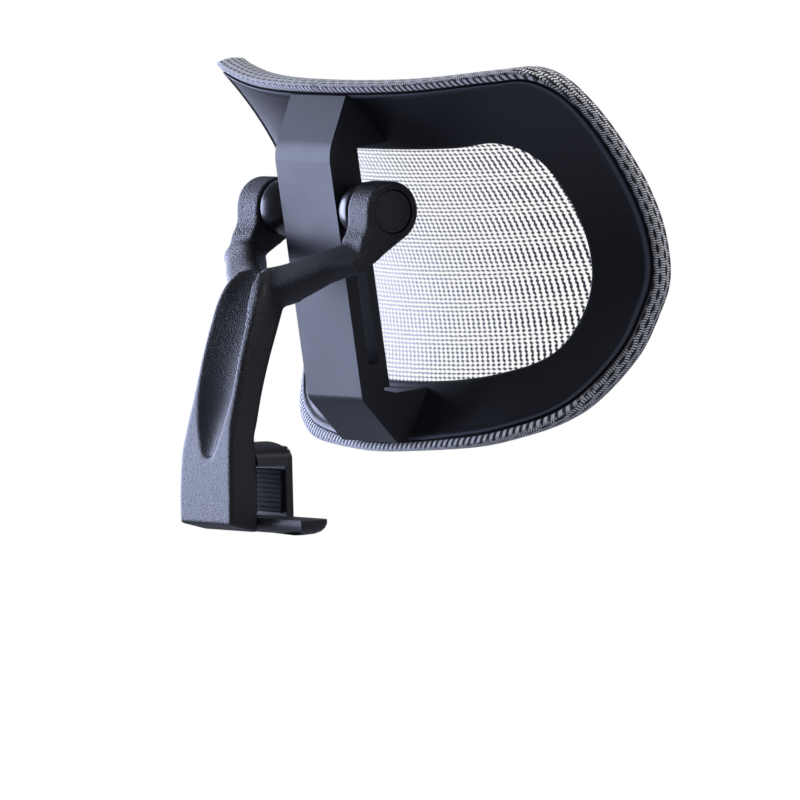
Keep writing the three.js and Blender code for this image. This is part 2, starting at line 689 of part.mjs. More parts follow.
function rearFrame() {
  const ring = loft(stations.map(ringSection), true);
  const topRamp = pushedAcross(BAR_HALF_WIDTH, [
    [BAR_BACK, CHANNEL_TOP], [BAR_BACK, 25.4], [8.5, 29], [-3.6, 50.6], [BAR_FRONT, CHANNEL_TOP],
  ]);
  const bottomRamp = pushedAcross(BAR_HALF_WIDTH, [
    [BAR_BACK, CHANNEL_BOTTOM], [BAR_BACK, -82], [8.6, -85.4], [-5.6, -105.8], [-6.4, -106.3], [-12.6, -106.3],
    [-8.9, -84], [BAR_FRONT, -82],
  ]);
  const topGusset = mirroredHull([
    [BAR_HALF_WIDTH, -3.6, 50.6], [BAR_HALF_WIDTH, -5.8, 50.8], [BAR_HALF_WIDTH, -7, 50.2],
    [BAR_HALF_WIDTH, BAR_FRONT, WINDOW_TOP],
    intoRing(22.5, WINDOW_TOP), intoRing(21.8, 39),
  ]);
  const bottomGusset = mirroredHull([
    [BAR_HALF_WIDTH, -8.9, -84], [BAR_HALF_WIDTH, -5.6, -105.8], [BAR_HALF_WIDTH, -12.6, -106.3],
    intoRing(24, -84.5), intoRing(22.7, -95),
  ]);
  const bar = block([-BAR_HALF_WIDTH, BAR_FRONT, CHANNEL_BOTTOM - 1], [BAR_HALF_WIDTH, BAR_BACK, CHANNEL_TOP + 1]);
  const channel = block(
    [-channelHalfWidth, -BIG, CHANNEL_BOTTOM],
    [channelHalfWidth, channelBack, CHANNEL_TOP],
  );
  const slots = block([-BIG, BAR_FRONT - 1, SLOT_BOTTOM], [BIG, SLOT_REAR, SLOT_TOP]);
  const topPocket = pushedAcross(channelHalfWidth, [
    [channelBack, CHANNEL_TOP - 1], [channelBack, 25.6], [-5, 44.5], [-8.5, 44.5], [-20, CHANNEL_TOP - 1],
  ]);
  const bottomPocket = pushedAcross(channelHalfWidth, [
    [channelBack, CHANNEL_BOTTOM + 1], [channelBack, -83.5], [-8, -98], [-10.5, -98], [-20, CHANNEL_BOTTOM + 1],
  ]);
  const posts = PLATE_SCREW_Z.map((z) => rodY(PLATE_POST_RADIUS, BAR_FRONT, BAR_BACK - 1, 0, z));
  const pilots = PLATE_SCREW_Z.map((z) => rodY(PLATE_SCREW_RADIUS + GAP, BAR_FRONT - 1, PLATE_SCREW_END + 0.5, 0, z, 12));
  const bores = FRAME_SCREWS.flatMap(([x, z]) => [
    rodY(FRAME_SCREW_RADIUS + GAP, -30, 0, x, z, 12),
    rodY(FRAME_SCREW_HEAD + GAP, frameScrewSeat(z) - GAP, frameScrewSeat(z) + 3, x, z, 16),
  ]);
  const shell = cut(join(ring, cut(join(bar, topRamp, bottomRamp, topGusset, bottomGusset), channel, topPocket, bottomPocket)), slots);
  return cut(join(shell, ...posts), ...pilots, ...bores);
}

piece('rear_frame', rearFrame(), shellPlastic, head);

// ---- Guide plate: closes the channel and carries the height notches ----------------------

const PLATE_THICKNESS = 3.9;
const PLATE_HALF_WIDTH = 19.6;
const plateRear = BAR_FRONT - GAP;
const plateFront = plateRear - PLATE_THICKNESS;
const headSeat = plateFront + 1.6;

function guidePlate() {
  const plate = block([-PLATE_HALF_WIDTH, plateFront, CHANNEL_BOTTOM + 0.5], [PLATE_HALF_WIDTH, plateRear, WINDOW_TOP - 0.4]);
  const notches = [];
  for (let i = 0; i < NOTCH_COUNT; i += 1) {
    notches.push(rodX(2.6, -6, 6, plateRear + 0.4, PLUNGER_Z - i * NOTCH_PITCH, 16));
  }
  const bores = PLATE_SCREW_Z.flatMap((z) => [
    rodY(PLATE_SCREW_RADIUS + GAP, plateFront - 1, plateRear + 1, 0, z, 12),
    rodY(PLATE_HEAD_RADIUS + GAP, plateFront - 1, headSeat + 0.2, 0, z, 20),
  ]);
  return cut(plate, ...notches, ...bores);
}
piece('guide_plate', guidePlate(), capPlastic, head);

PLATE_SCREW_Z.forEach((z, i) => {
  const screw = turned([
    [0, headSeat - PLATE_HEAD_HEIGHT], [PLATE_HEAD_RADIUS, headSeat - PLATE_HEAD_HEIGHT],
    [PLATE_HEAD_RADIUS, headSeat], [PLATE_SCREW_RADIUS, headSeat],
    [PLATE_SCREW_RADIUS, PLATE_SCREW_END], [0, PLATE_SCREW_END],
  ], 12).translate(0, 0, z);
  piece(['plate_screw_top', 'plate_screw_bottom'][i], screw, steel, head);
});

// ---- Front frame, mesh and edge strip ----------------------------------------------------

const frameRear = RING_THICKNESS + 2 * GAP;
const frameBelow = MESH_THICKNESS + 2.5 * GAP;

function frameOutset(station) {
  return station.meshOutset - MESH_THICKNESS - GAP;
}

function frontFrame() {
  const sections = stations.map((station) => [
    ringPoint(station, -frameOutset(station), frameRear),
    filmPoint(station, -frameOutset(station), frameBelow + 2),
    filmPoint(station, 1.5 - frameOutset(station), frameBelow),
    filmPoint(station, FRAME_INSET, frameBelow),
    ringPoint(station, FRAME_INSET, frameRear),
  ]);
  const bores = FRAME_SCREWS.map(([x, z]) => (
    rodY(FRAME_SCREW_RADIUS + GAP, -saddle(x, z) - 7.4, 0, x, z, 12)
  ));
  return cut(loft(sections, true), ...bores);
}
piece('front_frame', frontFrame(), shellPlastic, head);

FRAME_SCREWS.forEach(([x, z], i) => {
  const seat = frameScrewSeat(z);
  const end = -saddle(x, z) - 7;
  const screw = turned([
    [0, end], [FRAME_SCREW_RADIUS, end], [FRAME_SCREW_RADIUS, seat], [FRAME_SCREW_HEAD, seat],
    [FRAME_SCREW_HEAD, seat + 2], [0, seat + 2],
  ], 10);
  piece(`frame_screw_${i + 1}`, screw.translate(x, 0, z), steel, head);
});

const HEM_DEPTH = 0.6;

// One sheet: from the middle of its front out over the frame's edge, round to its hem, and back
// along its inner face
function meshCover() {
  const shares = [0.2, 0.55, 0.82];
  const film = (share, below) => stations.map((station) => (
    filmPoint(station, (1 - share) * station.outer.distanceTo(centre), below)
  ));
  const edge = (extra, below) => stations.map((station) => (
    filmPoint(station, -frameOutset(station) - extra, below)
  ));
  const hem = (extra) => stations.map((station) => (
    ringPoint(station, -frameOutset(station) - extra, HEM_DEPTH)
  ));
  const outerExtra = GAP + MESH_THICKNESS;
  return loft([
    ...shares.map((share) => film(share, 0)),
    edge(outerExtra - 1.5, 0),
    edge(outerExtra, 2),
    hem(outerExtra),
    hem(GAP),
    edge(GAP, MESH_THICKNESS + 1.5),
    edge(GAP - 1.5, MESH_THICKNESS),
    ...shares.reverse().map((share) => film(share, MESH_THICKNESS)),
  ]);
}

piece('mesh_cover', meshCover(), meshFabric, head);

const stripInner = 0.4;
const stripRear = 0.2;
const stripFront = RING_THICKNESS - 0.1;
const edgeStrip = loft(stations.map((station) => [
  ringPoint(station, -stripInner, stripRear),
  ringPoint(station, -frameOutset(station) + 0.1, stripRear),
  ringPoint(station, -frameOutset(station) + 0.1, stripFront),
  ringPoint(station, -stripInner, stripFront),
]), true);
piece('edge_strip', edgeStrip, padRubber, head);

export default headrestAttachment;
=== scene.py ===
"""Adjustable mesh headrest for an office chair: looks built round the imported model."""
import json
import math

import bmesh
import bpy
import numpy as np
from mathutils import Matrix, Vector


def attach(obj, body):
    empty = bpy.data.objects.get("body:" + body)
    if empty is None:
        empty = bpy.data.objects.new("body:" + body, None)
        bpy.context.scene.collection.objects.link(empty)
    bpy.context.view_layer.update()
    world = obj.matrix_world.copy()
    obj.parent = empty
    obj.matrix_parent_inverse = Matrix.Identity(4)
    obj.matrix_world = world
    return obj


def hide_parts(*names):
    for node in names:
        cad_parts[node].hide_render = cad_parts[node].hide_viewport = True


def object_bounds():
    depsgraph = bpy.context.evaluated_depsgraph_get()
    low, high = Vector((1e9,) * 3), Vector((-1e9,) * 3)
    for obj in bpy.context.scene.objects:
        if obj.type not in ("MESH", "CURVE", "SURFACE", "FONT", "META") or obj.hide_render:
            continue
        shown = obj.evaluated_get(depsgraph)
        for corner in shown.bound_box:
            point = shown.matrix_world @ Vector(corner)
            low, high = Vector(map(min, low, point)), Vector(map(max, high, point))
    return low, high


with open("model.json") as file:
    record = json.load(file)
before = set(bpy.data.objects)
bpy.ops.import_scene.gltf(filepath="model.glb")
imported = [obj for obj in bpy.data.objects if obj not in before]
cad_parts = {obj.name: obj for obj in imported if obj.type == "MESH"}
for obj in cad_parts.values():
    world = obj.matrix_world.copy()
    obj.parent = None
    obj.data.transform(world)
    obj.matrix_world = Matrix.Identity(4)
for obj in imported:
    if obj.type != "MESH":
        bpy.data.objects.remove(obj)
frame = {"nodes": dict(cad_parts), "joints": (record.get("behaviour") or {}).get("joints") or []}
cad_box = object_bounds()

MM = 0.001
JOINTS = {joint["name"]: joint for joint in frame["joints"]}
AXLE = Vector(JOINTS["tilt"]["pos_m"])

# The headrest's own frame: x across, y rearwards, z up along the bar, origin on the axle
BAR_UP = Vector(JOINTS["height"]["axis"]).normalized()
ACROSS = Vector((1, 0, 0))
BAR_REAR = BAR_UP.cross(ACROSS)
HEAD = Matrix.Translation(AXLE) @ Matrix((ACROSS, BAR_REAR, BAR_UP)).transposed().to_4x4()
WORLD = Matrix.Identity(4)
AXLE_LINE = Matrix.Translation(AXLE)

# ---- Driving dimensions, in millimetres ----

# The bar, in the headrest's own frame
BAR_HALF_WIDTH = 21.3
BAR_BACK = 9.5
BAR_FRONT = -3.0
BAR_WALL = 2.8
BAR_BACK_WALL = 3.05
CHANNEL_TOP = 22.0
CHANNEL_BOTTOM = -81.5
SLOT_TOP = 5.0
SLOT_BOTTOM = -69.5
SLOT_REAR = 3.4
BEND_RADIUS = 22.0
RAMP_TOP = (-3.6, 50.6)  # where the ramps meet the ring, as y and z
RAMP_BOTTOM = (-5.6, -105.8)
GUSSET_LOW = 27.0  # the lower edge of the gussets beside the top ramp
CUTTER_REACH = 60.0  # past every surface that a tool cuts right through

# The saddle-shaped surface that the rear frame lies on
SADDLE_REAR = 4.9
SADDLE_CUP_RADIUS = 217.5
SADDLE_BULGE = 30.9
SADDLE_MID_Z = -32.0
SADDLE_HALF_HEIGHT = 82.4

# The rear frame's ring, the front frame and the mesh on it
RING_THICKNESS = 2.4
LIP_HEIGHT = 1.2
LIP_CREST = range(4, 7)  # the points of the ring's section along its lip's outer edge, which carry a painted highlight
LIP_WIDTH = 2.4
SIDE_DEPTH = 9.3
END_DEPTH = 12.0
FILM_CENTRE = 40.0
FRAME_INSET = 14.0
MESH_THICKNESS = 1.2
SIDE_OUTSET = 3.0
TOP_OUTSET = 4.8
BOTTOM_OUTSET = 5.6
THINNER_BY_BAR = 1.4  # how much less the mesh stands out under the bar
GAP = 0.3

# The arm's bosses and the pivot in them
BOSS_RADIUS = 13.5
BOSS_INNER = 35.2
BOSS_OUTER = 51.9
CAP_RADIUS = 9.7
CAP_SETBACK = 0.5
CAP_THICKNESS = 2.4
CAP_POCKET = 3.2
BORE_RADIUS = 3.3
DOME_RADIUS = 12.9
DOME_LENGTH = 14.5
DOME_STEPS = 14
WASHER_INNER = 34.2

FOOT_FRONT = 1.8
STATIONS = 360
SECTION_SIDES = 32

# ---- Mesh making ----


def make_object(name, points, faces, place=WORLD, sharp=32.0):
    """A mesh object from points in millimetres, put in place by a matrix in metres."""
    mesh = bpy.data.meshes.new(name)
    mesh.from_pydata([place @ (Vector(p) * MM) for p in points], [], faces)
    tidy_normals(mesh)
    return link(name, mesh, sharp)


def shade(mesh, sharp):
    """Smooth shading, apart from the edges that are sharper than an angle in degrees."""
    mesh.shade_smooth()
    mesh.set_sharp_from_angle(angle=math.radians(sharp))


def add_to_scene(name, data):
    """A new object for a mesh, light or camera."""
    obj = bpy.data.objects.new(name, data)
    bpy.context.scene.collection.objects.link(obj)
    return obj


def link(name, mesh, sharp=32.0):
    shade(mesh, sharp)
    return add_to_scene(name, mesh)


def tidy_normals(mesh):
    """Joins points that coincide and turns every face outwards."""
    work = bmesh.new()
    work.from_mesh(mesh)
    bmesh.ops.remove_doubles(work, verts=work.verts, dist=1e-6)
    bmesh.ops.recalc_face_normals(work, faces=work.faces)
    work.to_mesh(mesh)
    work.free()


def strip_faces(rows, columns, loop_rows=False, loop_columns=True):
    """Quads over a grid of points that is stored row by row."""
    faces = []
    for i in range(rows if loop_rows else rows - 1):
        for k in range(columns if loop_columns else columns - 1):
            j, n = (i + 1) % rows, (k + 1) % columns
            faces.append((i * columns + k, j * columns + k, j * columns + n, i * columns + n))
    return faces


def loft(name, sections, place=WORLD, looped=False, sharp=32.0):
    """Skin through closed sections with equal numbers of points, capped unless looped."""
    rows, columns = len(sections), len(sections[0])
    faces = strip_faces(rows, columns, loop_rows=looped)
    if not looped:
        faces.append(tuple(range(columns)))
        faces.append(tuple(range((rows - 1) * columns, rows * columns)))
    points = [p for section in sections for p in section]
    return make_object(name, points, faces, place, sharp)


def circle_points(count):
    """Cosine and sine of evenly spaced angles."""
    for k in range(count):
        yield math.cos(2 * math.pi * k / count), math.sin(2 * math.pi * k / count)


def lathe(name, profile, place, side=1, steps=96, sharp=32.0, closed=False):
    """A body turned about X: profile points are (radius, distance along X)."""
    sections = [[(side * x, r * c, r * s) for r, x in profile] for c, s in circle_points(steps)]
    columns = len(profile)
    faces = strip_faces(steps, columns, loop_rows=True, loop_columns=closed)
    points = [p for section in sections for p in section]
    return make_object(name, points, faces, place, sharp)


def link_bmesh(name, work):
    """A new object from a bmesh, which is used up."""
    mesh = bpy.data.meshes.new(name)
    work.to_mesh(mesh)
    work.free()
    return link(name, mesh)


def hull(name, points, place):
    """The convex hull of points that are repeated at +x and -x."""
    work = bmesh.new()
    for x, y, z in points:
        for side in (1, -1):
            work.verts.new(place @ (Vector((side * x, y, z)) * MM))
    made = bmesh.ops.convex_hull(work, input=work.verts)
    inside = [v for v in made["geom_interior"] if isinstance(v, bmesh.types.BMVert)]
    bmesh.ops.delete(work, geom=inside, context="VERTS")
    flat_enough = math.radians(0.5)
    bmesh.ops.dissolve_limit(work, angle_limit=flat_enough, verts=work.verts, edges=work.edges)
    return link_bmesh(name, work)


def box(name, low, high, place=WORLD):
    (x0, y0, z0), (x1, y1, z1) = low, high
    points = [(x, y, z) for x in (x0, x1) for y in (y0, y1) for z in (z0, z1)]
    faces = [(0, 1, 3, 2), (4, 6, 7, 5), (0, 4, 5, 1), (2, 3, 7, 6), (0, 2, 6, 4), (1, 5, 7, 3)]
    return make_object(name, points, faces, place)


def prism(name, outline, low, high, axis):
    """An outline pushed along x or y; its points are the two other coordinates, in order."""
    if axis == "x":
        return loft(name, [[(c, a, b) for a, b in outline] for c in (low, high)])
    return loft(name, [[(a, c, b) for a, b in outline] for c in (low, high)])


def freeze(obj):
    """Applies the object's modifiers to its mesh."""
    depsgraph = bpy.context.evaluated_depsgraph_get()
    made = bpy.data.meshes.new_from_object(obj.evaluated_get(depsgraph))
    obj.modifiers.clear()
    obj.data = made
    return obj


def combine(obj, tools, operation):
    """Joins the tools to an object or cuts them from it, and removes them."""
    for tool in tools:
        modifier = obj.modifiers.new("combine", "BOOLEAN")
        modifier.solver = "EXACT"
        modifier.operation = operation
        modifier.object = tool
    freeze(obj)
    for tool in tools:
        bpy.data.objects.remove(tool)


def merge(name, objects):
    """One object from several, with no boolean."""
    work = bmesh.new()
    for obj in objects:
        work.from_mesh(obj.data)
        bpy.data.objects.remove(obj)
    return link_bmesh(name, work)


def round_edges(obj, width, segments=2, angle=34.0):
    """Rounds the edges sharper than an angle in degrees, by a width in millimetres."""
    modifier = obj.modifiers.new("round_edges", "BEVEL")
    modifier.width = width * MM
    modifier.segments = segments
    modifier.limit_method = "ANGLE"
    modifier.angle_limit = math.radians(angle)
    modifier.use_clamp_overlap = True
    modifier.harden_normals = True
    return obj


def finish_edges(obj, width, angle):
    """Cleans a body after its booleans and rounds the edges sharper than an angle in degrees."""
    tidy_normals(obj.data)
    shade(obj.data, 30)
    return freeze(round_edges(obj, width, segments=4, angle=angle))


def fillet(before, corner, after, radius, steps=6):
    """Points of an arc that rounds a corner of a flat outline."""
    corner = Vector(corner)
    to_before = (Vector(before) - corner).normalized()
    to_after = (Vector(after) - corner).normalized()
    half = to_before.angle(to_after) / 2
    reach = radius / math.tan(half)
    centre = corner + (to_before + to_after).normalized() * (radius / math.sin(half))
    start = corner + to_before * reach - centre
    end = corner + to_after * reach - centre
    turn = start.angle_signed(end)
    return [tuple(centre + Matrix.Rotation(-turn * i / steps, 2) @ start) for i in range(steps + 1)]


def catmull_point(four, knots, t):
    """The point at t of the span between the second and third of four points."""
    for width in (1, 2):
        four = [
            a + (b - a) * (t - knots[k]) / (knots[k + width] - knots[k])
            for k, (a, b) in enumerate(zip(four, four[1:]))
        ]
    return four[0] + (four[1] - four[0]) * (t - knots[1]) / (knots[2] - knots[1])


def spline(points, samples, closed=False):
    """Evenly spaced points on a centripetal Catmull-Rom curve."""
    p = [np.array(q, float) for q in points]
    count = len(p)
    if not closed:
        p = [2 * p[0] - p[1], *p, 2 * p[-1] - p[-2]]
    dense = []
    for i in range(count if closed else count - 1):
        four = [p[(i + k) % len(p)] for k in ((-1, 0, 1, 2) if closed else (0, 1, 2, 3))]
        knots = np.cumsum([0.0] + [np.linalg.norm(b - a) ** 0.5 for a, b in zip(four, four[1:])])
        dense += [catmull_point(four, knots, t) for t in np.linspace(knots[1], knots[2], 40, False)]
    dense.append(p[0] if closed else p[-2])
    dense = np.array(dense)
    run = np.concatenate([[0.0], np.cumsum(np.linalg.norm(np.diff(dense, axis=0), axis=1))])
    wanted = np.linspace(0, run[-1], samples + 1)[: samples if closed else samples + 1]
    return np.stack([np.interp(wanted, run, dense[:, k]) for k in range(dense.shape[1])], axis=1)


# ---- Materials ----


class Nodes:
    """Short names for building one material's node tree."""

    def __init__(self, name):
        self.material = bpy.data.materials.new(name)
        self.material.use_nodes = True
        self.tree = self.material.node_tree
        self.shader = self.tree.nodes["Principled BSDF"]

    def add(self, kind, inputs=None, **settings):
        node = self.tree.nodes.new(kind)
        for key, value in settings.items():
            setattr(node, key, value)
        for key, value in (inputs or {}).items():
            self.feed(node.inputs[key], value)
        return node

    def feed(self, socket, value):
        if isinstance(value, bpy.types.NodeSocket):
            self.tree.links.new(value, socket)
        else:
            socket.default_value = value

    def math(self, operation, *values):
        node = self.add("ShaderNodeMath", operation=operation)
        for socket, value in zip(node.inputs, values):
            self.feed(socket, value)
        return node.outputs[0]

    def ramp(self, value, low, high, low_out=0.0, high_out=1.0):
        node = self.add(
            "ShaderNodeMapRange",
            {"Value": value, "From Min": low, "From Max": high, "To Min": low_out, "To Max": high_out},
            interpolation_type="SMOOTHSTEP",
        )
        return node.outputs["Result"]

    def plus(self, a, b):
        return self.math("ADD", a, b)

    def minus(self, a, b):
        return self.math("SUBTRACT", a, b)

    def times(self, a, b):
        return self.math("MULTIPLY", a, b)

    def mix(self, factor, a, b):
        node = self.add("ShaderNodeMix", data_type="RGBA")
        self.feed(node.inputs[0], factor)
        self.feed(node.inputs[6], a)
        self.feed(node.inputs[7], b)
        return node.outputs[2]

    def place(self):
        return self.add("ShaderNodeTexCoord").outputs["Object"]

    def attribute(self, name):
        return self.add("ShaderNodeAttribute", attribute_name=name).outputs["Fac"]

    def edges(self, low, high):
        """1 on convex edges and 0 on the faces between them."""
        return self.ramp(self.add("ShaderNodeNewGeometry").outputs["Pointiness"], low, high)

    def noise(self, size, detail=3.0, vector=None):
        """Noise whose lumps are about size millimetres across."""
        scale = 1 / (size * MM)
        inputs = {"Vector": vector or self.place(), "Scale": scale, "Detail": detail, "Roughness": 0.55}
        return self.add("ShaderNodeTexNoise", inputs).outputs["Fac"]

    def bump(self, height, strength, distance):
        inputs = {"Height": height, "Strength": strength, "Distance": distance * MM}
        return self.add("ShaderNodeBump", inputs).outputs["Normal"]

    def set(self, **values):
        """Feeds the shader's sockets, with _ for the space in a socket's name."""
        for key, value in values.items():
            self.feed(self.shader.inputs[key.replace("_", " ")], value)


def rgb(red, green, blue):
    return (red, green, blue, 1.0)


def toned(colour, factor):
    """A colour made darker or paler by a factor."""
    return rgb(*(c * factor for c in colour))


CREST_HIGHLIGHT_TONE = 6  # painted highlight: how much paler the lip's crest is painted than the faces beside it


def moulded(name, colour, roughness, grain, relief, specular=0.5, wear=0.25):
    """Moulded plastic: a fine cast grain, faint flow marks and edges polished a little by handling,
    and a painted highlight along a crest."""
    n = Nodes(name)
    fine = n.noise(grain, detail=2.0)
    flow = n.noise(38.0, detail=4.0)
    edge = n.edges(0.515, 0.6)
    body = n.mix(n.ramp(flow, 0.3, 0.7), toned(colour, 0.86), toned(colour, 1.16))
    worn = rgb(*[min(1.0, c * 2.2 + 0.012) for c in colour])
    rubbed = n.mix(n.times(edge, wear), body, worn)
    # The crest attribute paints a highlight along the lip's crest.
    n.set(Base_Color=n.mix(n.attribute("crest"), rubbed, toned(colour, CREST_HIGHLIGHT_TONE)))
    uneven = n.plus(n.ramp(fine, 0.3, 0.7, -0.03, 0.04), n.ramp(flow, 0.35, 0.65, -0.02, 0.03))
    n.set(Roughness=n.plus(roughness, n.minus(uneven, n.times(edge, 0.06))))
    n.set(Normal=n.bump(fine, 0.6, relief), Specular_IOR_Level=specular)
    return n.material


PEBBLE = 0.62  # across, in millimetres
GRAIN_LOW, GRAIN_HIGH = 0.03, 0.085  # the heights between which the grain deepens, in metres


def grained_nylon():
    """The arm's coarse spark-eroded grain: rounded pebbles with fine noise between them, shallower
    down at the foot than up on the prongs."""
    n = Nodes("arm_nylon")
    inputs = {"Vector": n.place(), "Scale": 1 / (PEBBLE * MM)}
    cells = n.add("ShaderNodeTexVoronoi", inputs, feature="SMOOTH_F1")
    cells.inputs["Smoothness"].default_value = 0.6
    pebbles = cells.outputs["Distance"]
    fine = n.noise(0.35, detail=2.0)
    broad = n.noise(22.0)
    body = n.mix(n.ramp(broad, 0.3, 0.7), rgb(0.010, 0.010, 0.013), rgb(0.015, 0.015, 0.019))
    specks = n.mix(n.ramp(pebbles, 0.1, 0.5), rgb(0.028, 0.029, 0.035), body)
    n.set(Base_Color=n.mix(n.times(n.edges(0.52, 0.62), 0.3), specks, rgb(0.07, 0.072, 0.08)))
    n.set(Roughness=n.ramp(fine, 0.3, 0.7, 0.36, 0.5))
    relief = n.plus(n.times(pebbles, -1.0), n.times(fine, 0.4))
    height = n.add("ShaderNodeSeparateXYZ", {"Vector": n.place()}).outputs["Z"]
    n.set(Normal=n.bump(n.times(relief, n.ramp(height, GRAIN_LOW, GRAIN_HIGH, 0.5, 1.6)), 1.0, 0.2))
    return n.material


def polished(name, colour, roughness):
    """Polished plastic with a clear surface and faint hairline rubbing."""
    n = Nodes(name)
    stretched = n.add("ShaderNodeMapping", {"Vector": n.place(), "Scale": (1.0, 9.0, 9.0)})
    hairs = n.noise(1.6, detail=4.0, vector=stretched.outputs["Vector"])
    n.set(Base_Color=n.mix(hairs, rgb(*colour), toned(colour, 1.4)))
    n.set(Roughness=n.ramp(hairs, 0.35, 0.75, roughness, roughness + 0.1))
    n.set(Normal=n.bump(hairs, 0.12, 0.02))
    n.set(Coat_Weight=0.25, Coat_Roughness=0.2)
    return n.material


def metal(name, colour, roughness):
    """Plated or turned metal: fine tool lines and slightly uneven tone."""
    n = Nodes(name)
    lines = n.add("ShaderNodeMapping", {"Vector": n.place(), "Scale": (0.15, 1.0, 1.0)})
    fine = n.noise(0.25, vector=lines.outputs["Vector"])
    tone = n.noise(5.0)
    n.set(Base_Color=n.mix(n.ramp(tone, 0.3, 0.7), toned(colour, 0.82), rgb(*colour)))
    n.set(Roughness=n.ramp(fine, 0.3, 0.7, roughness - 0.06, roughness + 0.1))
    n.set(Normal=n.bump(fine, 0.2, 0.02), Metallic=1.0)
    return n.material


def rubbery(name, colour):
    """Matt rubber with a fine open grain and an uneven tone."""
    n = Nodes(name)
    fine = n.noise(0.5, detail=4.0)
    broad = n.noise(7.0)
    n.set(Base_Color=n.mix(n.ramp(broad, 0.3, 0.7), toned(colour, 0.8), toned(colour, 1.3)))
    n.set(Roughness=n.ramp(fine, 0.3, 0.7, 0.72, 0.9))
    n.set(Normal=n.bump(fine, 0.4, 0.06))
    return n.material


# The knit, in millimetres: wales run up the cloth and courses run across it
WALE_PITCH = 3.0
COURSE_PITCH = 1.8
COURSES_PER_SHIFT = 4
STITCH_PITCH = 1.05
SLIT_PITCH = 6.4
BEAD_PITCH = 3.1


def wave(n, value, pitch, offset=0.0):
    """A cosine from -1 to 1, with a crest at every multiple of the pitch."""
    turned = n.times(n.math("DIVIDE", value, pitch), 2 * math.pi)
    return n.math("COSINE", n.plus(turned, offset))


def open_eyes(n, u, v, drawn):
    """How open the stretched cloth is, from 0 to 1: wales that lean and zigzag over the courses,
    crossed every few courses, and the courses that tie them."""
    swing = n.times(wave(n, v, 2 * COURSE_PITCH), 0.35)
    turn = n.times(n.math("DIVIDE", v, COURSES_PER_SHIFT * COURSE_PITCH), -math.pi)
    leaning = wave(n, u, WALE_PITCH, n.plus(turn, swing))
    crossed = n.plus(wave(n, u, WALE_PITCH), wave(n, u, WALE_PITCH, n.times(turn, 2.0)))
    wales = n.plus(leaning, n.times(crossed, 0.18))
    strength = n.plus(n.times(drawn, 0.35), 0.34)
    weave = n.plus(n.times(wales, strength), n.times(wave(n, v, COURSE_PITCH), 0.38))
    return n.ramp(weave, -0.55, 0.25)


def closed_stitches(n, jitter):
    """The white yarn of the relaxed cloth: ladders of narrow stitches with long slits between
    them, gathered into one row of beads along the hem; where it is tucked in behind the lip at the
    sides the yarn is left out, so that the cloth shows black as a painted shadow."""
    along = n.plus(n.attribute("along"), jitter)
    down = n.plus(n.attribute("down"), jitter)
    band = n.math("DIVIDE", down, WALE_PITCH)
    lean = n.times(n.math("ABSOLUTE", n.minus(n.math("FRACT", band), 0.5)), 0.9)
    stitch = wave(n, n.plus(along, lean), STITCH_PITCH)
    between = n.math("FLOOR", n.plus(band, 0.5))
    slit = wave(n, along, SLIT_PITCH, n.times(between, math.pi))
    narrow = n.plus(wave(n, down, WALE_PITCH, math.pi), n.times(slit, -0.55))
    ladders = n.times(n.ramp(narrow, -0.75, -0.25), n.ramp(stitch, -0.55, 0.25))
    beads = n.ramp(wave(n, along, BEAD_PITCH), -0.4, 0.3)
    hem = n.attribute("hem")
    yarn = n.plus(n.times(ladders, n.minus(1.0, hem)), n.times(beads, hem))
    # Painted shadow: no yarn where the cloth is tucked in, so that part shows black.
    return n.times(yarn, n.minus(1.0, n.attribute("tucked")))


def knit():
    """Open elastic knit in the sheet's own flat coordinates. Over the window it is stretched, and
    its middle is drawn widest apart; there its dark yarn is painted paler, a painted light for the
    light that falls brightest across the middle. Where it wraps the frame it is relaxed: its
    stitches close up and its eyes turn to slits."""
    n = Nodes("mesh_knit")
    cloth = n.add("ShaderNodeUVMap", uv_map="cloth").outputs["UV"]
    flat = n.add("ShaderNodeSeparateXYZ", {"Vector": cloth})
    u, v = (n.times(flat.outputs[k], 1 / MM) for k in ("X", "Y"))
    jitter = n.times(n.minus(n.noise(2.4, detail=2.0), 0.5), 0.5)
    wrap = n.attribute("wrap")
    # 0 in the middle and 1 towards the sides: it widens the eyes' pattern, and below it sets the painted
    #                                          light that makes the dark yarn paler in the middle
    drawn = n.ramp(n.math("ABSOLUTE", u), 25.0, 95.0)
    eye = open_eyes(n, n.plus(u, jitter), n.plus(v, jitter), drawn)
    yarn = closed_stitches(n, jitter)

    tone = n.noise(1.1)
    # Painted light: the stretched cloth's dark yarn is painted paler towards the middle, where the light
    # falls brightest.
    stretched = n.mix(drawn, rgb(0.66, 0.68, 0.80), rgb(0.2, 0.205, 0.24))
    white = n.mix(n.ramp(tone, 0.25, 0.75), rgb(0.84, 0.85, 0.89), rgb(0.97, 0.97, 0.99))
    relaxed = n.mix(yarn, rgb(0.012, 0.012, 0.016), white)
    n.set(Base_Color=n.mix(wrap, stretched, relaxed), Roughness=0.72)
    n.set(Alpha=n.minus(1.0, n.times(eye, n.minus(1.0, wrap))))
    n.set(Normal=n.bump(n.plus(n.times(yarn, wrap), n.times(tone, 0.25)), 0.8, 0.35))
    n.set(Sheen_Weight=0.25, Sheen_Roughness=0.5)
    return n.material


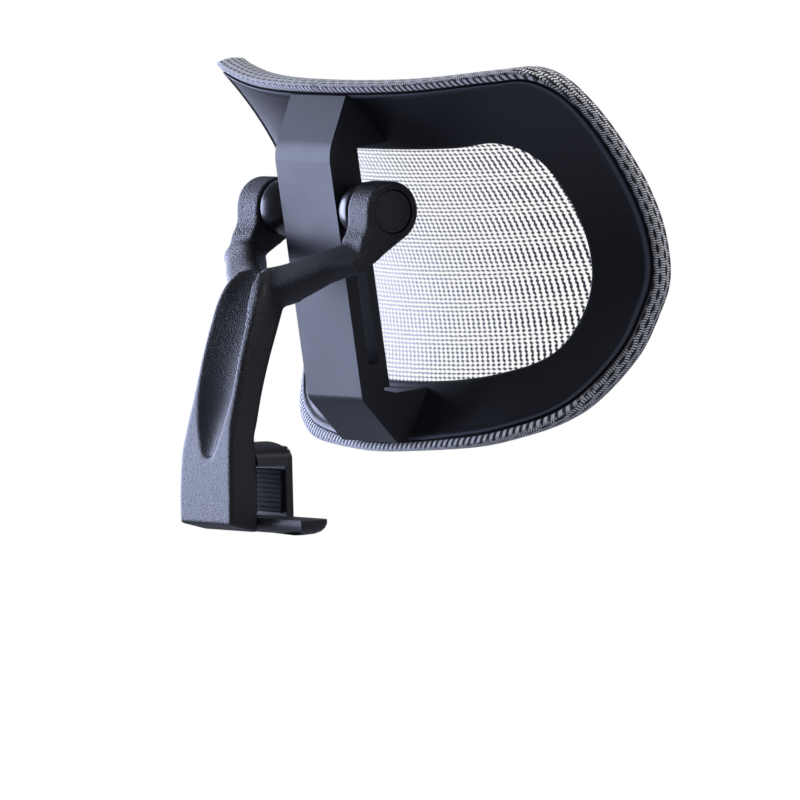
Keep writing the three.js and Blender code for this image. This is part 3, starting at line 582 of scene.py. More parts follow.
SHELL = moulded("shell_plastic", (0.013, 0.014, 0.019), 0.47, 0.45, 0.025, specular=0.36)
CAP = moulded("cap_plastic", (0.022, 0.022, 0.026), 0.45, 0.6, 0.03)
GUIDE = moulded("guide_plastic", (0.010, 0.010, 0.012), 0.5, 0.6, 0.03, wear=0.1)
SLIDE = moulded("slide_nylon", (0.024, 0.024, 0.026), 0.4, 0.5, 0.02, wear=0.5)
NYLON = grained_nylon()
GLOSS = polished("gloss_black", (0.006, 0.006, 0.009), 0.3)
RUBBER = rubbery("pad_rubber", (0.018, 0.018, 0.019))
STEEL = metal("zinc_steel", (0.56, 0.57, 0.60), 0.3)
BRASS = metal("turned_brass", (0.60, 0.42, 0.18), 0.32)
KNIT = knit()


def paint(obj, material):
    obj.data.materials.clear()
    obj.data.materials.append(material)


def dress(obj, material, body, stands_for):
    """Gives a new piece its material and body, and hides the CAD node that it stands for."""
    paint(obj, material)
    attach(obj, body)
    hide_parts(stands_for)


def keep_node(name, material, edge=0.25):
    """A CAD node that stays as it is, with its own material and slightly broken edges."""
    obj = frame["nodes"][name]
    paint(obj, material)
    round_edges(obj, edge)


# ---- Headrest outline ----

# One half of the ring's outside and of its window, as x and z
OUTER_HALF = [
    (0, 51), (60, 51.2), (104, 53.4), (118.5, 53.2), (126, 46), (131.2, 7.6), (133.2, -38),
    (128.5, -55), (120.6, -73), (102.5, -92.5), (75, -101.2), (42, -104.8), (0, -106.8),
]
INNER_HALF = [
    (0, 23), (60, 22.8), (84, 24), (97, 17), (104.3, -4), (106.9, -38), (101, -58),
    (90, -71.4), (61.4, -79.5), (0, -82.5),
]
MIDDLE = np.array([0.0, SADDLE_MID_Z])


def saddle(x, z):
    """How far forward the saddle that the ring lies on is at (x, z)."""
    rise = (z - SADDLE_MID_Z) / SADDLE_HALF_HEIGHT
    return SADDLE_REAR + x * x / (2 * SADDLE_CUP_RADIUS) + SADDLE_BULGE * (1 - rise * rise)


def mirrored_loop(half, samples):
    """A closed curve through one half's points and their mirror image."""
    points = half + [(-x, z) for x, z in reversed(half[1:-1])]
    return spline(points, samples, closed=True)


def lerp(a, b, t):
    return a + (b - a) * t


def smooth(t):
    """An eased step from 0 to 1."""
    t = min(1.0, max(0.0, t))
    return t * t * (3 - 2 * t)


class Station:
    """One place on the outline, with its ray inwards and the sizes that vary round the ring."""

    def __init__(self, outer, before, after, inner_line):
        self.outer = outer
        along = (after - before) / np.linalg.norm(after - before)
        self.outward = np.array([-along[1], along[0]])
        if self.outward @ (outer - MIDDLE) < 0:
            self.outward = -self.outward
        inner = crossing(inner_line, outer)
        self.width = np.linalg.norm(outer - inner)
        self.inward = (inner - outer) / self.width
        upright = abs(self.outward[1])
        end_outset = lerp(BOTTOM_OUTSET, TOP_OUTSET, smooth(self.outward[1] * 2 + 0.5))
        if self.outward[1] < 0:
            end_outset -= THINNER_BY_BAR * smooth(1.3 - abs(outer[0]) / 50)
        self.outset = lerp(SIDE_OUTSET, end_outset, upright)
        self.edge = saddle(*outer) + lerp(SIDE_DEPTH, END_DEPTH, upright)
        self.reach = np.linalg.norm(outer - MIDDLE)

    def at(self, inset):
        """The place on the outline's plane, inset from the outline (outwards if negative)."""
        if inset < 0:
            return self.outer - self.outward * inset
        return self.outer + self.inward * inset

    def ring(self, inset, depth):
        """A point at a depth in front of the saddle, inset from the outline."""
        x, z = self.at(inset)
        return (x, -(saddle(x, z) + depth), z)

    def film(self, inset, below=0.0):
        """A point of the taut mesh's surface, or below it."""
        share = min(1.0, (self.reach - inset) / self.reach)
        x, z = MIDDLE + (self.outer - MIDDLE) * share + self.outward * max(0.0, -inset)
        depth = FILM_CENTRE * (1 - share * share) + self.edge * share * share - below
        return (x, -depth, z)


def crossing(line, towards):
    """Where the ray from the middle towards a point crosses a closed line."""
    ray = (towards - MIDDLE) / np.linalg.norm(towards - MIDDLE)
    a = line - MIDDLE
    b = np.roll(a, -1, axis=0)
    side_a = ray[0] * a[:, 1] - ray[1] * a[:, 0]
    side_b = ray[0] * b[:, 1] - ray[1] * b[:, 0]
    hit = np.nonzero((side_a * side_b <= 0) & (side_a != side_b) & (a @ ray > 0))[0][0]
    t = side_a[hit] / (side_a[hit] - side_b[hit])
    return MIDDLE + a[hit] + (b[hit] - a[hit]) * t


outer_line = mirrored_loop(OUTER_HALF, STATIONS)
inner_line = mirrored_loop(INNER_HALF, 2 * STATIONS)
stations = [
    Station(outer_line[i], outer_line[i - 1], outer_line[(i + 1) % STATIONS], inner_line)
    for i in range(STATIONS)
]


# ---- Rear frame ----


def ring_section(s):
    """The ring's section: a raised lip along the outline, but not at the bar, and a rounded inner
    edge."""
    beside_bar = smooth((abs(s.outer[0]) - BAR_HALF_WIDTH + 1.0) / 1.6)
    lip = LIP_HEIGHT * beside_bar
    foot = LIP_WIDTH
    w = s.width
    t = RING_THICKNESS
    profile = [
        (0.25, t), (0.0, t - 0.4), (0.0, 0.0), (0.0, 0.5 - lip), (0.12, 0.16 - lip), (0.45, -lip),
        (1.2, -lip), (foot - 0.5, -lip), (foot - 0.1, 0.14 - lip), (foot + 0.2, -0.45 * lip),
        (foot + 0.5, -0.12 * lip), (foot + 1.0, 0.0), (foot + 2.5, 0.0),
        (w * 0.35, 0.0), (w * 0.55, 0.0), (w * 0.75, 0.0), (w - 2.2, 0.0), (w - 1.1, 0.1),
        (w - 0.45, 0.42), (w - 0.1, 0.9), (w, 1.4), (w, t - 0.35), (w - 0.35, t),
        (w * 0.7, t), (w * 0.4, t),
    ]
    return [s.ring(inset, depth) for inset, depth in profile]


ring = loft("ring_shell", [ring_section(s) for s in stations], HEAD, looped=True, sharp=50)
section_size = len(ring_section(stations[0]))
# 1 on the points of the lip's crest, where the shell material paints a highlight
crest_highlight_mask = [float(i % section_size in LIP_CREST) for i in range(len(ring.data.vertices))]
ring.data.attributes.new("crest", "FLOAT", "POINT").data.foreach_set("value", crest_highlight_mask)
dress(ring, SHELL, "headrest", "rear_frame")

half = BAR_HALF_WIDTH
channel_half = BAR_HALF_WIDTH - BAR_WALL
channel_back = BAR_BACK - BAR_BACK_WALL

# The bar's side outlines, as y and z: the ramps above and below it
top_bend = fillet((BAR_BACK, 0), (BAR_BACK, 27.2), RAMP_TOP, BEND_RADIUS, 14)
bottom_bend = fillet((BAR_BACK, -50), (BAR_BACK, -84.2), RAMP_BOTTOM, 7.0)
top_outline = [*top_bend, RAMP_TOP, (BAR_FRONT, CHANNEL_TOP), (BAR_BACK, CHANNEL_TOP - 6)]
bottom_outline = [
    *bottom_bend, RAMP_BOTTOM, (-6.4, -106.3), (-12.6, -106.3), (-8.9, -84), (BAR_FRONT, -82),
    (BAR_BACK, CHANNEL_BOTTOM + 4),
]
top_pocket = [
    (channel_back, CHANNEL_TOP - 1), (channel_back, 25.6), (-5, 44.5), (-8.5, 44.5), (-20, CHANNEL_TOP - 1),
]
bottom_pocket = [
    (channel_back, CHANNEL_BOTTOM + 1), (channel_back, -83.5), (-8, -98), (-10.5, -98),
    (-20, CHANNEL_BOTTOM + 1),
]


def pushed(name, outline, half_width):
    """A side outline pushed out to both sides of the middle."""
    return hull(name, [(half_width, y, z) for y, z in outline], HEAD)


def into_ring(x, z):
    """A point inside the ring's wall, for a gusset's foot."""
    return (x, -(saddle(x, z) + 1), z)


# The webs that run from the bar's sides into the ring
top_gusset = [
    (half, *RAMP_TOP), (half, -4.3, 50.9), (half, -5.8, 50.8), (half, -7, 50.2),
    (half, BAR_FRONT, GUSSET_LOW), into_ring(22.5, GUSSET_LOW), into_ring(21.8, 39),
]
bottom_gusset = [
    (half, -8.9, -84), (half, *RAMP_BOTTOM), (half, -12.6, -106.3),
    into_ring(24, -84.5), into_ring(22.7, -95),
]


def bar_body():
    """The upright bar: a channel open to the front, slotted at its sides, between two ramps."""
    bar = box("bar_shell", (-half, BAR_FRONT, CHANNEL_BOTTOM - 1), (half, BAR_BACK, CHANNEL_TOP + 1), HEAD)
    combine(bar, [
        pushed("top_ramp", top_outline, half), pushed("bottom_ramp", bottom_outline, half),
        hull("top_gusset", top_gusset, HEAD), hull("bottom_gusset", bottom_gusset, HEAD),
    ], "UNION")
    channel = (-channel_half, -CUTTER_REACH, CHANNEL_BOTTOM), (channel_half, channel_back, CHANNEL_TOP)
    slots = (-CUTTER_REACH, BAR_FRONT - 1, SLOT_BOTTOM), (CUTTER_REACH, SLOT_REAR, SLOT_TOP)
    combine(bar, [
        box("channel", *channel, HEAD), pushed("top_pocket", top_pocket, channel_half),
        pushed("bottom_pocket", bottom_pocket, channel_half), box("slots", *slots, HEAD),
    ], "DIFFERENCE")
    return finish_edges(bar, 0.8, 30)


dress(bar_body(), SHELL, "headrest", "rear_frame")


# ---- Front frame, edge strip and mesh ----


def frame_outset(s):
    """How far the front frame stands out past the outline, under the cloth."""
    return s.outset - MESH_THICKNESS - GAP


def front_section(s):
    """The front frame's section: flat behind, and in front a round shoulder under the taut cloth."""
    rear = RING_THICKNESS + 2 * GAP
    below = MESH_THICKNESS + 2.5 * GAP
    out = frame_outset(s)
    return [
        s.ring(-out + 0.4, rear), s.ring(-out, rear + 0.5), s.film(-out, below + 2.2),
        s.film(0.45 - out, below + 0.9), s.film(1.6 - out, below + 0.1), s.film(4, below),
        s.film(FRAME_INSET - 1, below), s.film(FRAME_INSET, below + 0.8),
        s.ring(FRAME_INSET, rear + 0.6), s.ring(FRAME_INSET - 0.6, rear), s.ring(FRAME_INSET / 2, rear),
    ]


front = loft("front_ring", [front_section(s) for s in stations], HEAD, looped=True, sharp=50)
dress(front, SHELL, "headrest", "front_frame")


def strip_section(s):
    """The strip that holds the hem, in the groove between the ring and the front frame."""
    inner, outer, front_side = -0.4, 0.1 - frame_outset(s), RING_THICKNESS - 0.1
    return [
        s.ring(inner, 0.35), s.ring(inner - 0.4, 0.2), s.ring(outer + 0.1, 0.2), s.ring(outer, 0.4),
        s.ring(outer, front_side), s.ring(inner, front_side),
    ]


strip = loft("hem_strip", [strip_section(s) for s in stations], HEAD, looped=True)
dress(strip, RUBBER, "headrest", "edge_strip")

ROUND_OVER = 2.4
HEM_DEPTH = 0.55
WALL_BULGE = 0.9
FILM_COLUMNS = 46
ROUND_COLUMNS = 6
WALL_COLUMNS = 8
RELAX_COLUMNS = 4
HEM_COLUMNS = 3
# The cloth's last points, tucked in behind the lip: share of the outset, and depth
TUCK = [(0.88, -0.1), (0.62, -0.4), (0.34, -0.3), (0.2, 0.3)]


def cover_line(s):
    """Points of the cloth from the middle out over the edge, down the wall and under to its hem."""
    rim_inset = ROUND_OVER - s.outset
    shares = np.linspace(0.02, 1.0, FILM_COLUMNS)
    line = [s.film(rim_inset + (1 - share) * (s.reach - rim_inset)) for share in shares]
    top = np.array(line[-1])
    hem = np.array(s.ring(-s.outset, HEM_DEPTH))
    rim = np.array(s.film(-s.outset, ROUND_OVER))
    side = np.array([s.outward[0], 0.0, s.outward[1]])
    corner = rim - side * ROUND_OVER
    for i in range(1, ROUND_COLUMNS + 1):
        angle = math.pi / 2 * i / ROUND_COLUMNS
        line.append(tuple(corner + side * ROUND_OVER * math.sin(angle) + (top - corner) * math.cos(angle)))
    for i in range(1, WALL_COLUMNS + 1):
        t = i / WALL_COLUMNS
        line.append(tuple(rim + (hem - rim) * t + side * WALL_BULGE * math.sin(math.pi * t)))
    return line + [s.ring(-s.outset * share, depth) for share, depth in TUCK]


def stretched_cloth():
    """The cloth, with its flat coordinates as UVs and the values that the knit reads: how relaxed
    it is, the distance along the rim and down from it, the beaded hem and the tucked part, which
    the knit paints black as a painted shadow."""
    rows = [cover_line(s) for s in stations]
    columns = len(rows[0])
    points, flat, values = [], [], []
    run = 0.0
    for i, (s, row) in enumerate(zip(stations, rows)):
        distance = 0.0
        run += float(np.linalg.norm(s.outer - stations[i - 1].outer)) if i else 0.0
        start = np.array(row[FILM_COLUMNS - 1])[[0, 2]]
        level = smooth(abs(s.outward[1]) * 3 - 1.7)  # 1 along the top and bottom, 0 at the sides
        for k, p in enumerate(row):
            if k < FILM_COLUMNS:
                flat.append(np.array(p)[[0, 2]])
            else:
                distance += np.linalg.norm(np.array(p) - np.array(row[k - 1]))
                flat.append(start + s.outward * distance)
            relaxed = smooth((k - FILM_COLUMNS + RELAX_COLUMNS - 1) / RELAX_COLUMNS)
            beaded = level if k >= columns - HEM_COLUMNS else 0.0
            # the tucked part along the sides, which the knit paints black as a painted shadow
            tucked = (1 - level) * smooth((k - columns + HEM_COLUMNS + 1) / HEM_COLUMNS)
            values.append((relaxed, run, distance, beaded, tucked))
        points += row
    hub = len(points)
    points.append((0.0, -FILM_CENTRE, SADDLE_MID_Z))
    flat.append(MIDDLE)
    values.append((0.0,) * 5)
    faces = strip_faces(STATIONS, columns, loop_rows=True, loop_columns=False)
    faces += [(hub, i * columns, ((i + 1) % STATIONS) * columns) for i in range(STATIONS)]
    cloth = make_object("mesh_sheet", points, faces, HEAD, sharp=70)
    layer = cloth.data.uv_layers.new(name="cloth")
    for loop in cloth.data.loops:
        layer.data[loop.index].uv = flat[loop.vertex_index] * MM
    for name, numbers in zip(("wrap", "along", "down", "hem", "tucked"), zip(*values)):
        attribute = cloth.data.attributes.new(name, "FLOAT", "POINT")
        attribute.data.foreach_set("value", np.array(numbers, np.float32))
    return cloth, np.array(flat) * MM


def loop_area(line):
    """The area inside a closed line."""
    x, z = line[:, 0], line[:, 1]
    return abs(np.dot(x, np.roll(z, -1)) - np.dot(z, np.roll(x, -1))) / 2


cover, cover_flat = stretched_cloth()
dress(cover, KNIT, "headrest", "mesh_cover")
cut_line = cover_flat[:-1].reshape(STATIONS, -1, 2)[:, -1]
cut_area = float(loop_area(cut_line))


# ---- Fork arm ----

# Level sections of the stem: height, back, half width, depth, how much lower the front is than the
# back, and corner radius
STEM = [
    (-14.4, 16.5, 20.5, 14.7, 3.6, 1.2),
    (3, 16.5, 20.5, 14.7, 0, 1.2),
    (16.7, 16, 19.8, 14.2, 0, 1.6),
    (24, 15, 19, 13.2, 0, 2),
    (30, 14, 18.4, 14.2, 0, 2.4),
    (44.4, 10.4, 17.8, 14.2, 0, 2.6),
    (59, 6.9, 17.3, 15.2, 0, 2.6),
    (72, 3, 16.9, 16, 0, 2.6),
    (83, -0.6, 16.5, 16.4, 0, 3),
    (91, -4.2, 15.2, 16, 0, 4),
    (96.5, -8.2, 11.4, 11.5, 0, 4),
]
STEM_STEPS = 48
# The hollow down the stem's back: height, rear plane, half width. Its left wall is the longer one
HOLLOW = [
    (15, 22.2, 9), (30, 17, 12), (44.4, 11.6, 13.4), (59, 7.6, 13.4), (72, 3.6, 13), (84, -1, 11),
    (98, -7, 7.5),
]
HOLLOW_DEPTH = 7.0
HOLLOW_OFFSET = 2.6
HOLLOW_LEAN = 0.5
HOLLOW_STEPS = 30
HOLLOW_POINT = 1.5  # 1 is an ellipse, and more draws the hollow's floor to a point

PRONG = [(4, -12, 88.5), (15, -18, 91), (27, -25, 95.6), (38, -32.2, 99.8), (53, -40.2, 102.8)]
PRONG_UP = Vector((0, 0.74, 0.67))
PRONG_STEPS = 20
PRONG_SQUARE = 0.55  # 1 is an ellipse, and less is nearer to a rectangle
UNDER_PRONG = [(-20, 88.2), (-31.8, 95.8), (-58, 112.9), (-75, 124), (-75, 60), (-20, 60)]
# A boss's column from the side, as y and z: its rear swells where the prong runs into it
COLUMN_REAR = [(-36.4, 123.4), (-36.3, 117), (-35.4, 114.6), (-33.6, 111.4), (-32.6, 108), (-31.8, 95.8)]

CORNER_STEPS = 4
BOSS_STEPS = 48
# Voxels that run the arm's bodies together, and that keep its shape while it is eased
FLOW_VOXEL = 0.8
EASE_VOXEL = 0.75


def hollow_section(z, y, half_width):
    """A level section of the hollow, whose floor leans to the right."""
    section = []
    for c, s in circle_points(SECTION_SIDES):
        x = HOLLOW_OFFSET + half_width * (c + HOLLOW_LEAN * min(s, 0.0))
        section.append((x, y + HOLLOW_DEPTH * math.copysign(abs(s) ** HOLLOW_POINT, s), z))
    return section


def level_section(z, back, half_width, depth, drop, corner):
    """A rectangle with round corners, and lower at the front by the drop."""
    middle = back - depth / 2
    section = []
    for quarter, (sx, sy) in enumerate([(1, 1), (-1, 1), (-1, -1), (1, -1)]):
        for step in range(CORNER_STEPS + 1):
            angle = (quarter + step / CORNER_STEPS) * math.pi / 2
            x = sx * (half_width - corner) + corner * math.cos(angle)
            y = middle + sy * (depth / 2 - corner) + corner * math.sin(angle)
            section.append((x, y, z - drop * (back - y) / depth))
    return section


def prong_section(centre, along, t):
    """A rounded rectangle across the prong, at the share t of its length."""
    across = (PRONG_UP - along * along.dot(PRONG_UP)).normalized()
    thick = along.cross(across)
    half_width, half_thick = lerp(7.6, 7.1, t), lerp(8.6, 8.2, t)
    section = []
    for c, s in circle_points(SECTION_SIDES):
        x, y = [math.copysign(abs(value) ** PRONG_SQUARE, value) for value in (c, s)]
        section.append(centre + across * half_width * x + thick * half_thick * y)
    return section


def prong(side):
    line = [Vector((side * x, y, z)) for x, y, z in spline(PRONG, PRONG_STEPS)]
    sections = []
    for i, centre in enumerate(line):
        along = (line[min(i + 1, PRONG_STEPS)] - line[max(i - 1, 0)]).normalized()
        sections.append(prong_section(centre, along, i / PRONG_STEPS))
    return loft(f"prong_{side}", sections)


def column(side):
    """A boss and its column: a circle drawn out at its foot to the corner where the prong comes in."""
    axle = Vector((AXLE.y, AXLE.z)) / MM
    foot = Vector(COLUMN_REAR[-1]) - axle
    tangent = math.atan2(foot.y, foot.x) - math.acos(BOSS_RADIUS / foot.length)
    turn = (tangent + 2 * math.pi) / BOSS_STEPS
    outline = []
    for i in range(1, BOSS_STEPS + 1):
        outline.append(tuple(axle + BOSS_RADIUS * Vector((math.cos(turn * i), math.sin(turn * i)))))
    outline += COLUMN_REAR[::-1]
    return prism(f"column_{side}", outline, side * BOSS_INNER, side * BOSS_OUTER, axis="x")


def under_prong(side):
    """What is cut away under a prong's end, along the line from its corner to the boss."""
    return loft(f"under_{side}", [
        [(side * x, y, z - drop) for y, z in UNDER_PRONG]
        for x, drop in ((14, 12), (22, 4.3), (38, GAP), (70, GAP))
    ])


def beside_boss(side):
    """What is cut away outside a boss's flat outer face."""
    near, far = sorted((side * BOSS_OUTER, side * 90))
    return box(f"beside_{side}", (near, -90, 60), (far, 0, 160))


def cap_pocket(side):
    """What is cut out of a boss's face for its cap."""
    floor, radius = BOSS_OUTER - CAP_POCKET, CAP_RADIUS + GAP
    profile = [(0, floor), (radius, floor), (radius, CUTTER_REACH), (0, CUTTER_REACH)]
    return lathe(f"pocket_{side}", profile, AXLE_LINE, side, 64)


def bore(radius, place, steps):
    """A rod along X for cutting a hole right through."""
    profile = [(0, -CUTTER_REACH), (radius, -CUTTER_REACH), (radius, CUTTER_REACH), (0, CUTTER_REACH)]
    return lathe("bore", profile, place, steps=steps)


def remesh(obj, voxel):
    """Adds a modifier that skins the object afresh, with voxels of a size in millimetres."""
    modifier = obj.modifiers.new("flow", "REMESH")
    modifier.mode = "VOXEL"
    modifier.voxel_size = voxel * MM


def fork_body():
    """Stem, prongs and boss columns, run together and eased so that they flow into each other."""
    stem = loft("stem", [level_section(*row) for row in spline(STEM, STEM_STEPS)])
    hollow = loft("hollow", [hollow_section(*row) for row in spline(HOLLOW, HOLLOW_STEPS)])
    body = merge("fork_body", [stem, prong(1), prong(-1), column(1), column(-1)])
    remesh(body, FLOW_VOXEL)
    freeze(body)
    outside = [beside_boss(1), beside_boss(-1), under_prong(1), under_prong(-1)]
    combine(body, [hollow, *outside], "DIFFERENCE")
    remesh(body, EASE_VOXEL)
    ease = body.modifiers.new("ease", "SMOOTH")
    ease.factor = 0.5
    ease.iterations = 9
    freeze(body)
    bolt_bore = bore(BORE_RADIUS, AXLE_LINE, 48)
    combine(body, [cap_pocket(1), cap_pocket(-1), bolt_bore], "DIFFERENCE")
    tidy_normals(body.data)
    shade(body.data, 50)
    return body


dress(fork_body(), NYLON, "arm", "fork_arm")


# ---- Pivot ----


def pivot_cap(side, name):
    """A push-in cap: a chamfered disc, very slightly dished, with a shallow ring near its rim."""
    outer = BOSS_OUTER - CAP_SETBACK
    inner = outer - CAP_THICKNESS
    edge = [(0, 0.7), (0.18, 0.25), (0.6, 0), (1.3, 0), (1.5, 0.2), (1.9, 0.2), (2.2, 0.03)]
    profile = [(0, inner), (CAP_RADIUS, inner)]
    profile += [(CAP_RADIUS - inset, outer - depth) for inset, depth in edge]
    profile += [(5, outer - 0.12), (2, outer - 0.18), (0, outer - 0.2)]
    return lathe(f"cap_disc_{name}", profile, AXLE_LINE, side, sharp=60)


def dome(side, name):
    """A glossy domed collar, thinning from the prong to the bar."""
    start = WASHER_INNER - GAP
    reach = start - BAR_HALF_WIDTH - GAP - 0.1
    edge = 0.8
    profile = [
        (BORE_RADIUS, start), (DOME_RADIUS - 0.7, start), (DOME_RADIUS - 0.2, start - 0.2),
        (DOME_RADIUS, start - 0.7),
    ]
    for i in range(1, DOME_STEPS + 1):
        along = edge + (reach - edge) * i / DOME_STEPS
        radius = DOME_RADIUS * math.sqrt(1 - ((along - edge) / DOME_LENGTH) ** 2)
        profile.append((radius, start - along))
    profile.append((BORE_RADIUS, start - reach))
    return lathe(f"dome_{name}", profile, AXLE_LINE, side, closed=True, sharp=60)


for side, name in ((1, "left"), (-1, "right")):
    dress(pivot_cap(side, name), CAP, "arm", f"pivot_cap_{name}")
    dress(dome(side, name), GLOSS, "slider", f"dome_collar_{name}")
    keep_node(f"friction_washer_{name}", STEEL, 0.1)
    keep_node(f"slide_shoe_{name}", SLIDE)
    keep_node(f"clamp_insert_{name}", BRASS, 0.15)
    keep_node(f"clamp_screw_{name}", STEEL, 0.15)
screws = ["plate_screw_top", "plate_screw_bottom", *(f"frame_screw_{i}" for i in range(1, 5))]
for name in ["pivot_bolt", "pivot_nut", "detent_plunger", "detent_spring", *screws]:
    keep_node(name, STEEL, 0.12)
keep_node("slider_block", CAP, 0.3)
keep_node("guide_plate", GUIDE, 0.3)


# ---- Clamp ----

RAIL_DEPTH = 12.0
PAD_THICKNESS = 1.5
JAW_REAR = -RAIL_DEPTH - PAD_THICKNESS - GAP
JAW_FRONT = JAW_REAR - 3.6
JAW_BACK = FOOT_FRONT - GAP
JAW_WALL_Z = 11.3
ARCH_Z = 21.0
ARCH_HALF_WIDTH = 20.0
FLANGE_Z = -18.0
FLANGE_RIGHT = 53.0
FLANGE_LEFT = 20.0
FLANGE_CORNER = 12.0
CLAMP_SCREW_X = 11.0
CLAMP_SCREW_Z = 16.0
CLAMP_BORE = 2.2


def quadratic(a, b, c, steps=10):
    """Points of a curve from a to c that is drawn towards b."""
    a, b, c = np.array([a, b, c], float)
    shares = np.linspace(0, 1, steps + 1)
    return [tuple((1 - t) ** 2 * a + 2 * t * (1 - t) * b + t * t * c) for t in shares]


def arch_outline(bottom):
    """The upright part seen from the front: straight sides and a low arch, as x and z."""
    w, top = ARCH_HALF_WIDTH, ARCH_Z
    right = quadratic((w - 1, 15), (w - 2, top - 3), (w - 8, top - 1.5))
    over = quadratic((w - 8, top - 1.5), (0, top + 2), (8 - w, top - 1.5), 16)
    left = quadratic((8 - w, top - 1.5), (2 - w, top - 3), (1 - w, 15))
    return [(-w, bottom), (w, bottom), *right, *over[1:-1], *left]


def flange_outline(z, inset):
    """The flange's plan, which reaches farther on the arm's right."""
    left, right, front = FLANGE_LEFT - inset / 2, -FLANGE_RIGHT + inset, JAW_FRONT + inset
    back = JAW_BACK - inset
    r = FLANGE_CORNER
    far = quadratic((right, front + r), (right, front), (right + r, front))
    near = quadratic((left - r / 2, front), (left, front), (left, front + r / 2))
    plan = [(right, back), *far, *near, (left, back)]
    return [(x, y, z) for x, y in plan]


def clamp_bracket():
    """The front clamp part: a flange under the rail, a wall in front of it and an arch over it."""
    levels = [(-JAW_WALL_Z, 0), (-13.2, 0), (-15.2, 0.7), (-16.6, 1.9), (-17.6, 3.8), (FLANGE_Z, 6)]
    bracket = loft("bracket", [flange_outline(z, inset) for z, inset in levels])
    arch = prism("arch", arch_outline(JAW_WALL_Z), JAW_REAR - 1, JAW_BACK, axis="y")
    plate = prism("plate", arch_outline(FLANGE_Z + 2.5), JAW_FRONT, JAW_REAR, axis="y")
    combine(bracket, [arch, plate], "UNION")
    bores = []
    for side in (1, -1):
        place = Matrix.Translation(Vector((side * CLAMP_SCREW_X, 0, CLAMP_SCREW_Z)) * MM)
        bores.append(bore(CLAMP_BORE, place @ Matrix.Rotation(math.pi / 2, 4, "Z"), 40))
    combine(bracket, bores, "DIFFERENCE")
    return finish_edges(bracket, 0.9, 32)


dress(clamp_bracket(), NYLON, "clamp_jaw", "clamp_bracket")


def ribbed_pad(name, base, face):
    """A rubber pad with level ribs on the face that grips the rail."""
    half_width, half_height = 17.0, 9.5
    ribs = 9
    groove = face - math.copysign(0.45, face - base)
    section = [(base, -half_height)]
    for i in range(ribs):
        low = -half_height + 2 * half_height * i / ribs
        high = low + 2 * half_height / ribs
        section += [(groove, low), (face, low + 0.35), (face, high - 0.35)]
    section += [(groove, half_height), (base, half_height)]
    return round_edges(prism(name, section, -half_width, half_width, axis="x"), 0.12, angle=30)


rear_pad = ribbed_pad("rear_pad", PAD_THICKNESS, 0.0)
dress(rear_pad, RUBBER, "arm", "rear_jaw_pad")
front_pad = ribbed_pad("front_pad", -RAIL_DEPTH - PAD_THICKNESS, -RAIL_DEPTH)
dress(front_pad, RUBBER, "clamp_jaw", "front_jaw_pad")


# ---- Studio ----

FLOOR_Z = -1.05  # the chair holds the headrest about this far above the floor, in metres
FLOOR_HALF = 90.0  # far enough for the floor to fill the view behind the part, in metres
WORLD_GLOW = 0.2
# Each soft light: its direction from the part, distance, width and height, power and colour
LIGHTS = {
    "key": ((0.90, 0.42, 0.03), 1.5, (1.3, 0.9), 36, (0.63, 0.70, 1.0)),
    "wing": ((0.99, -0.14, 0.1), 1.5, (0.6, 0.9), 8, (0.66, 0.72, 1.0)),
    "rim": ((-0.52, 0.8, 0.3), 1.8, (0.5, 0.5), 0.5, (0.8, 0.85, 1.0)),
    "top": ((-0.5, -0.3, 0.85), 1.6, (0.8, 0.8), 16, (0.98, 0.98, 1.0)),
    "side": ((-0.82, -0.57, -0.02), 1.8, (1.5, 1.5), 1.7, (0.94, 0.95, 1.0)),
}


def area_light(name, towards, distance, size, power, colour):
    """A soft light at a distance from the middle of the part, facing it."""
    light = bpy.data.lights.new(name, "AREA")
    light.shape = "RECTANGLE"
    light.size, light.size_y = size
    light.energy = power
    light.color = colour
    obj = add_to_scene(name, light)
    direction = Vector(towards).normalized()
    obj.location = (cad_box[0] + cad_box[1]) / 2 + direction * distance
    obj.rotation_euler = direction.to_track_quat("Z", "Y").to_euler()


def white_when_seen(tree, kind, lit, surface):
    """Plain white where the camera sees it, lighting the part as before."""
    white = tree.nodes.new(kind)
    white.inputs["Color"].default_value = rgb(1, 1, 1)
    white.inputs["Strength"].default_value = 1.0
    path = tree.nodes.new("ShaderNodeLightPath")
    pick = tree.nodes.new("ShaderNodeMixShader")
    tree.links.new(path.outputs["Is Camera Ray"], pick.inputs[0])
    tree.links.new(lit, pick.inputs[1])
    tree.links.new(white.outputs[0], pick.inputs[2])
    tree.links.new(pick.outputs[0], surface)


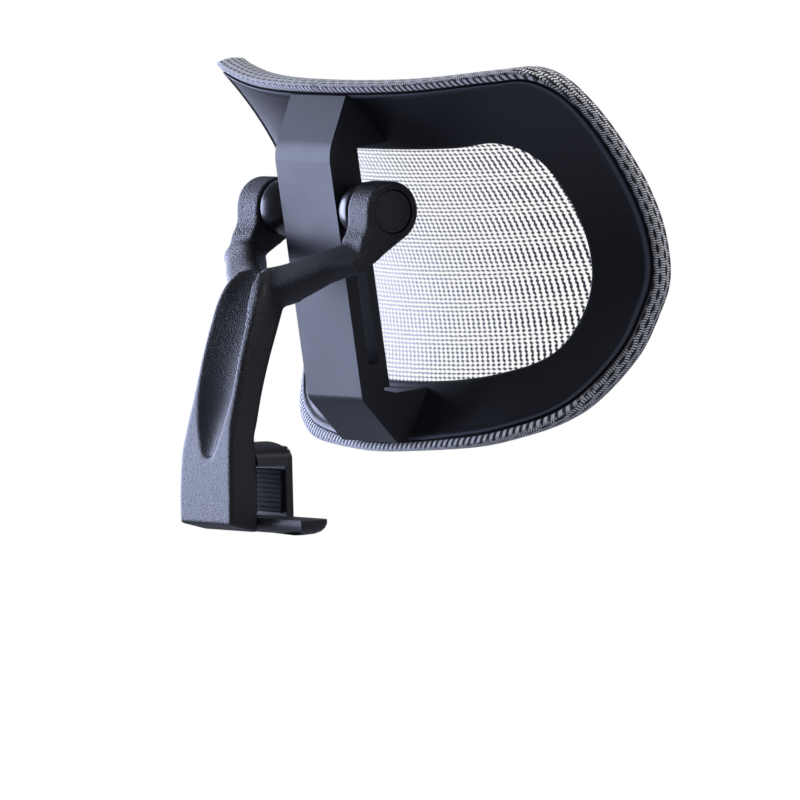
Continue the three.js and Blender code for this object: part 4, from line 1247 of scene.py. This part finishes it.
def studio():
    """A pale paper floor, a pale surround and the soft lights."""
    reach = FLOOR_HALF / MM
    corners = [(-reach, -reach, 0), (reach, -reach, 0), (reach, reach, 0), (-reach, reach, 0)]
    floor = make_object("floor", corners, [(0, 1, 2, 3)])
    floor.location.z = FLOOR_Z
    paper = Nodes("floor_paper")
    tone = paper.mix(paper.noise(900.0), rgb(0.55, 0.55, 0.56), rgb(0.59, 0.59, 0.60))
    paper.set(Base_Color=tone, Roughness=0.9)
    output = paper.tree.nodes["Material Output"].inputs["Surface"]
    white_when_seen(paper.tree, "ShaderNodeEmission", paper.shader.outputs[0], output)
    paint(floor, paper.material)

    world = bpy.data.worlds.new("studio")
    bpy.context.scene.world = world
    world.use_nodes = True
    nodes = world.node_tree.nodes
    glow = nodes["Background"]
    glow.inputs["Color"].default_value = rgb(0.82, 0.86, 1.0)
    glow.inputs["Strength"].default_value = WORLD_GLOW
    surface = nodes["World Output"].inputs["Surface"]
    white_when_seen(world.node_tree, "ShaderNodeBackground", glow.outputs[0], surface)

    for name, settings in LIGHTS.items():
        area_light(name, *settings)


# The camera turns about this point, and stands far off with a long lens
CAMERA_TARGET = Vector((-99.05, -20.0, 42.82)) * MM
CAMERA_DISTANCE = 7158.9 * MM
CAMERA_AZIMUTH = math.radians(235.24)
CAMERA_ELEVATION = math.radians(2.62)
CAMERA_ROLL = math.radians(-0.37)
CAMERA_LENS = 735.6


def photographers_camera():
    """The camera, behind the part and to its right."""
    data = bpy.data.cameras.new("camera")
    data.sensor_width = 36.0
    data.lens = CAMERA_LENS
    data.clip_start, data.clip_end = 0.5, 300.0
    obj = add_to_scene("camera", data)
    level = math.cos(CAMERA_ELEVATION)
    back = Vector((
        math.sin(CAMERA_AZIMUTH) * level, -math.cos(CAMERA_AZIMUTH) * level, math.sin(CAMERA_ELEVATION),
    ))
    level_right = (-back).cross(Vector((0, 0, 1))).normalized()
    level_up = level_right.cross(-back)
    right = level_right * math.cos(CAMERA_ROLL) + level_up * math.sin(CAMERA_ROLL)
    up = back.cross(right)
    turn = Matrix((right, up, back)).transposed().to_4x4()
    obj.matrix_world = Matrix.Translation(CAMERA_TARGET + back * CAMERA_DISTANCE) @ turn
    bpy.context.scene.camera = obj


studio()
photographers_camera()
bpy.context.scene.view_settings.view_transform = "Standard"
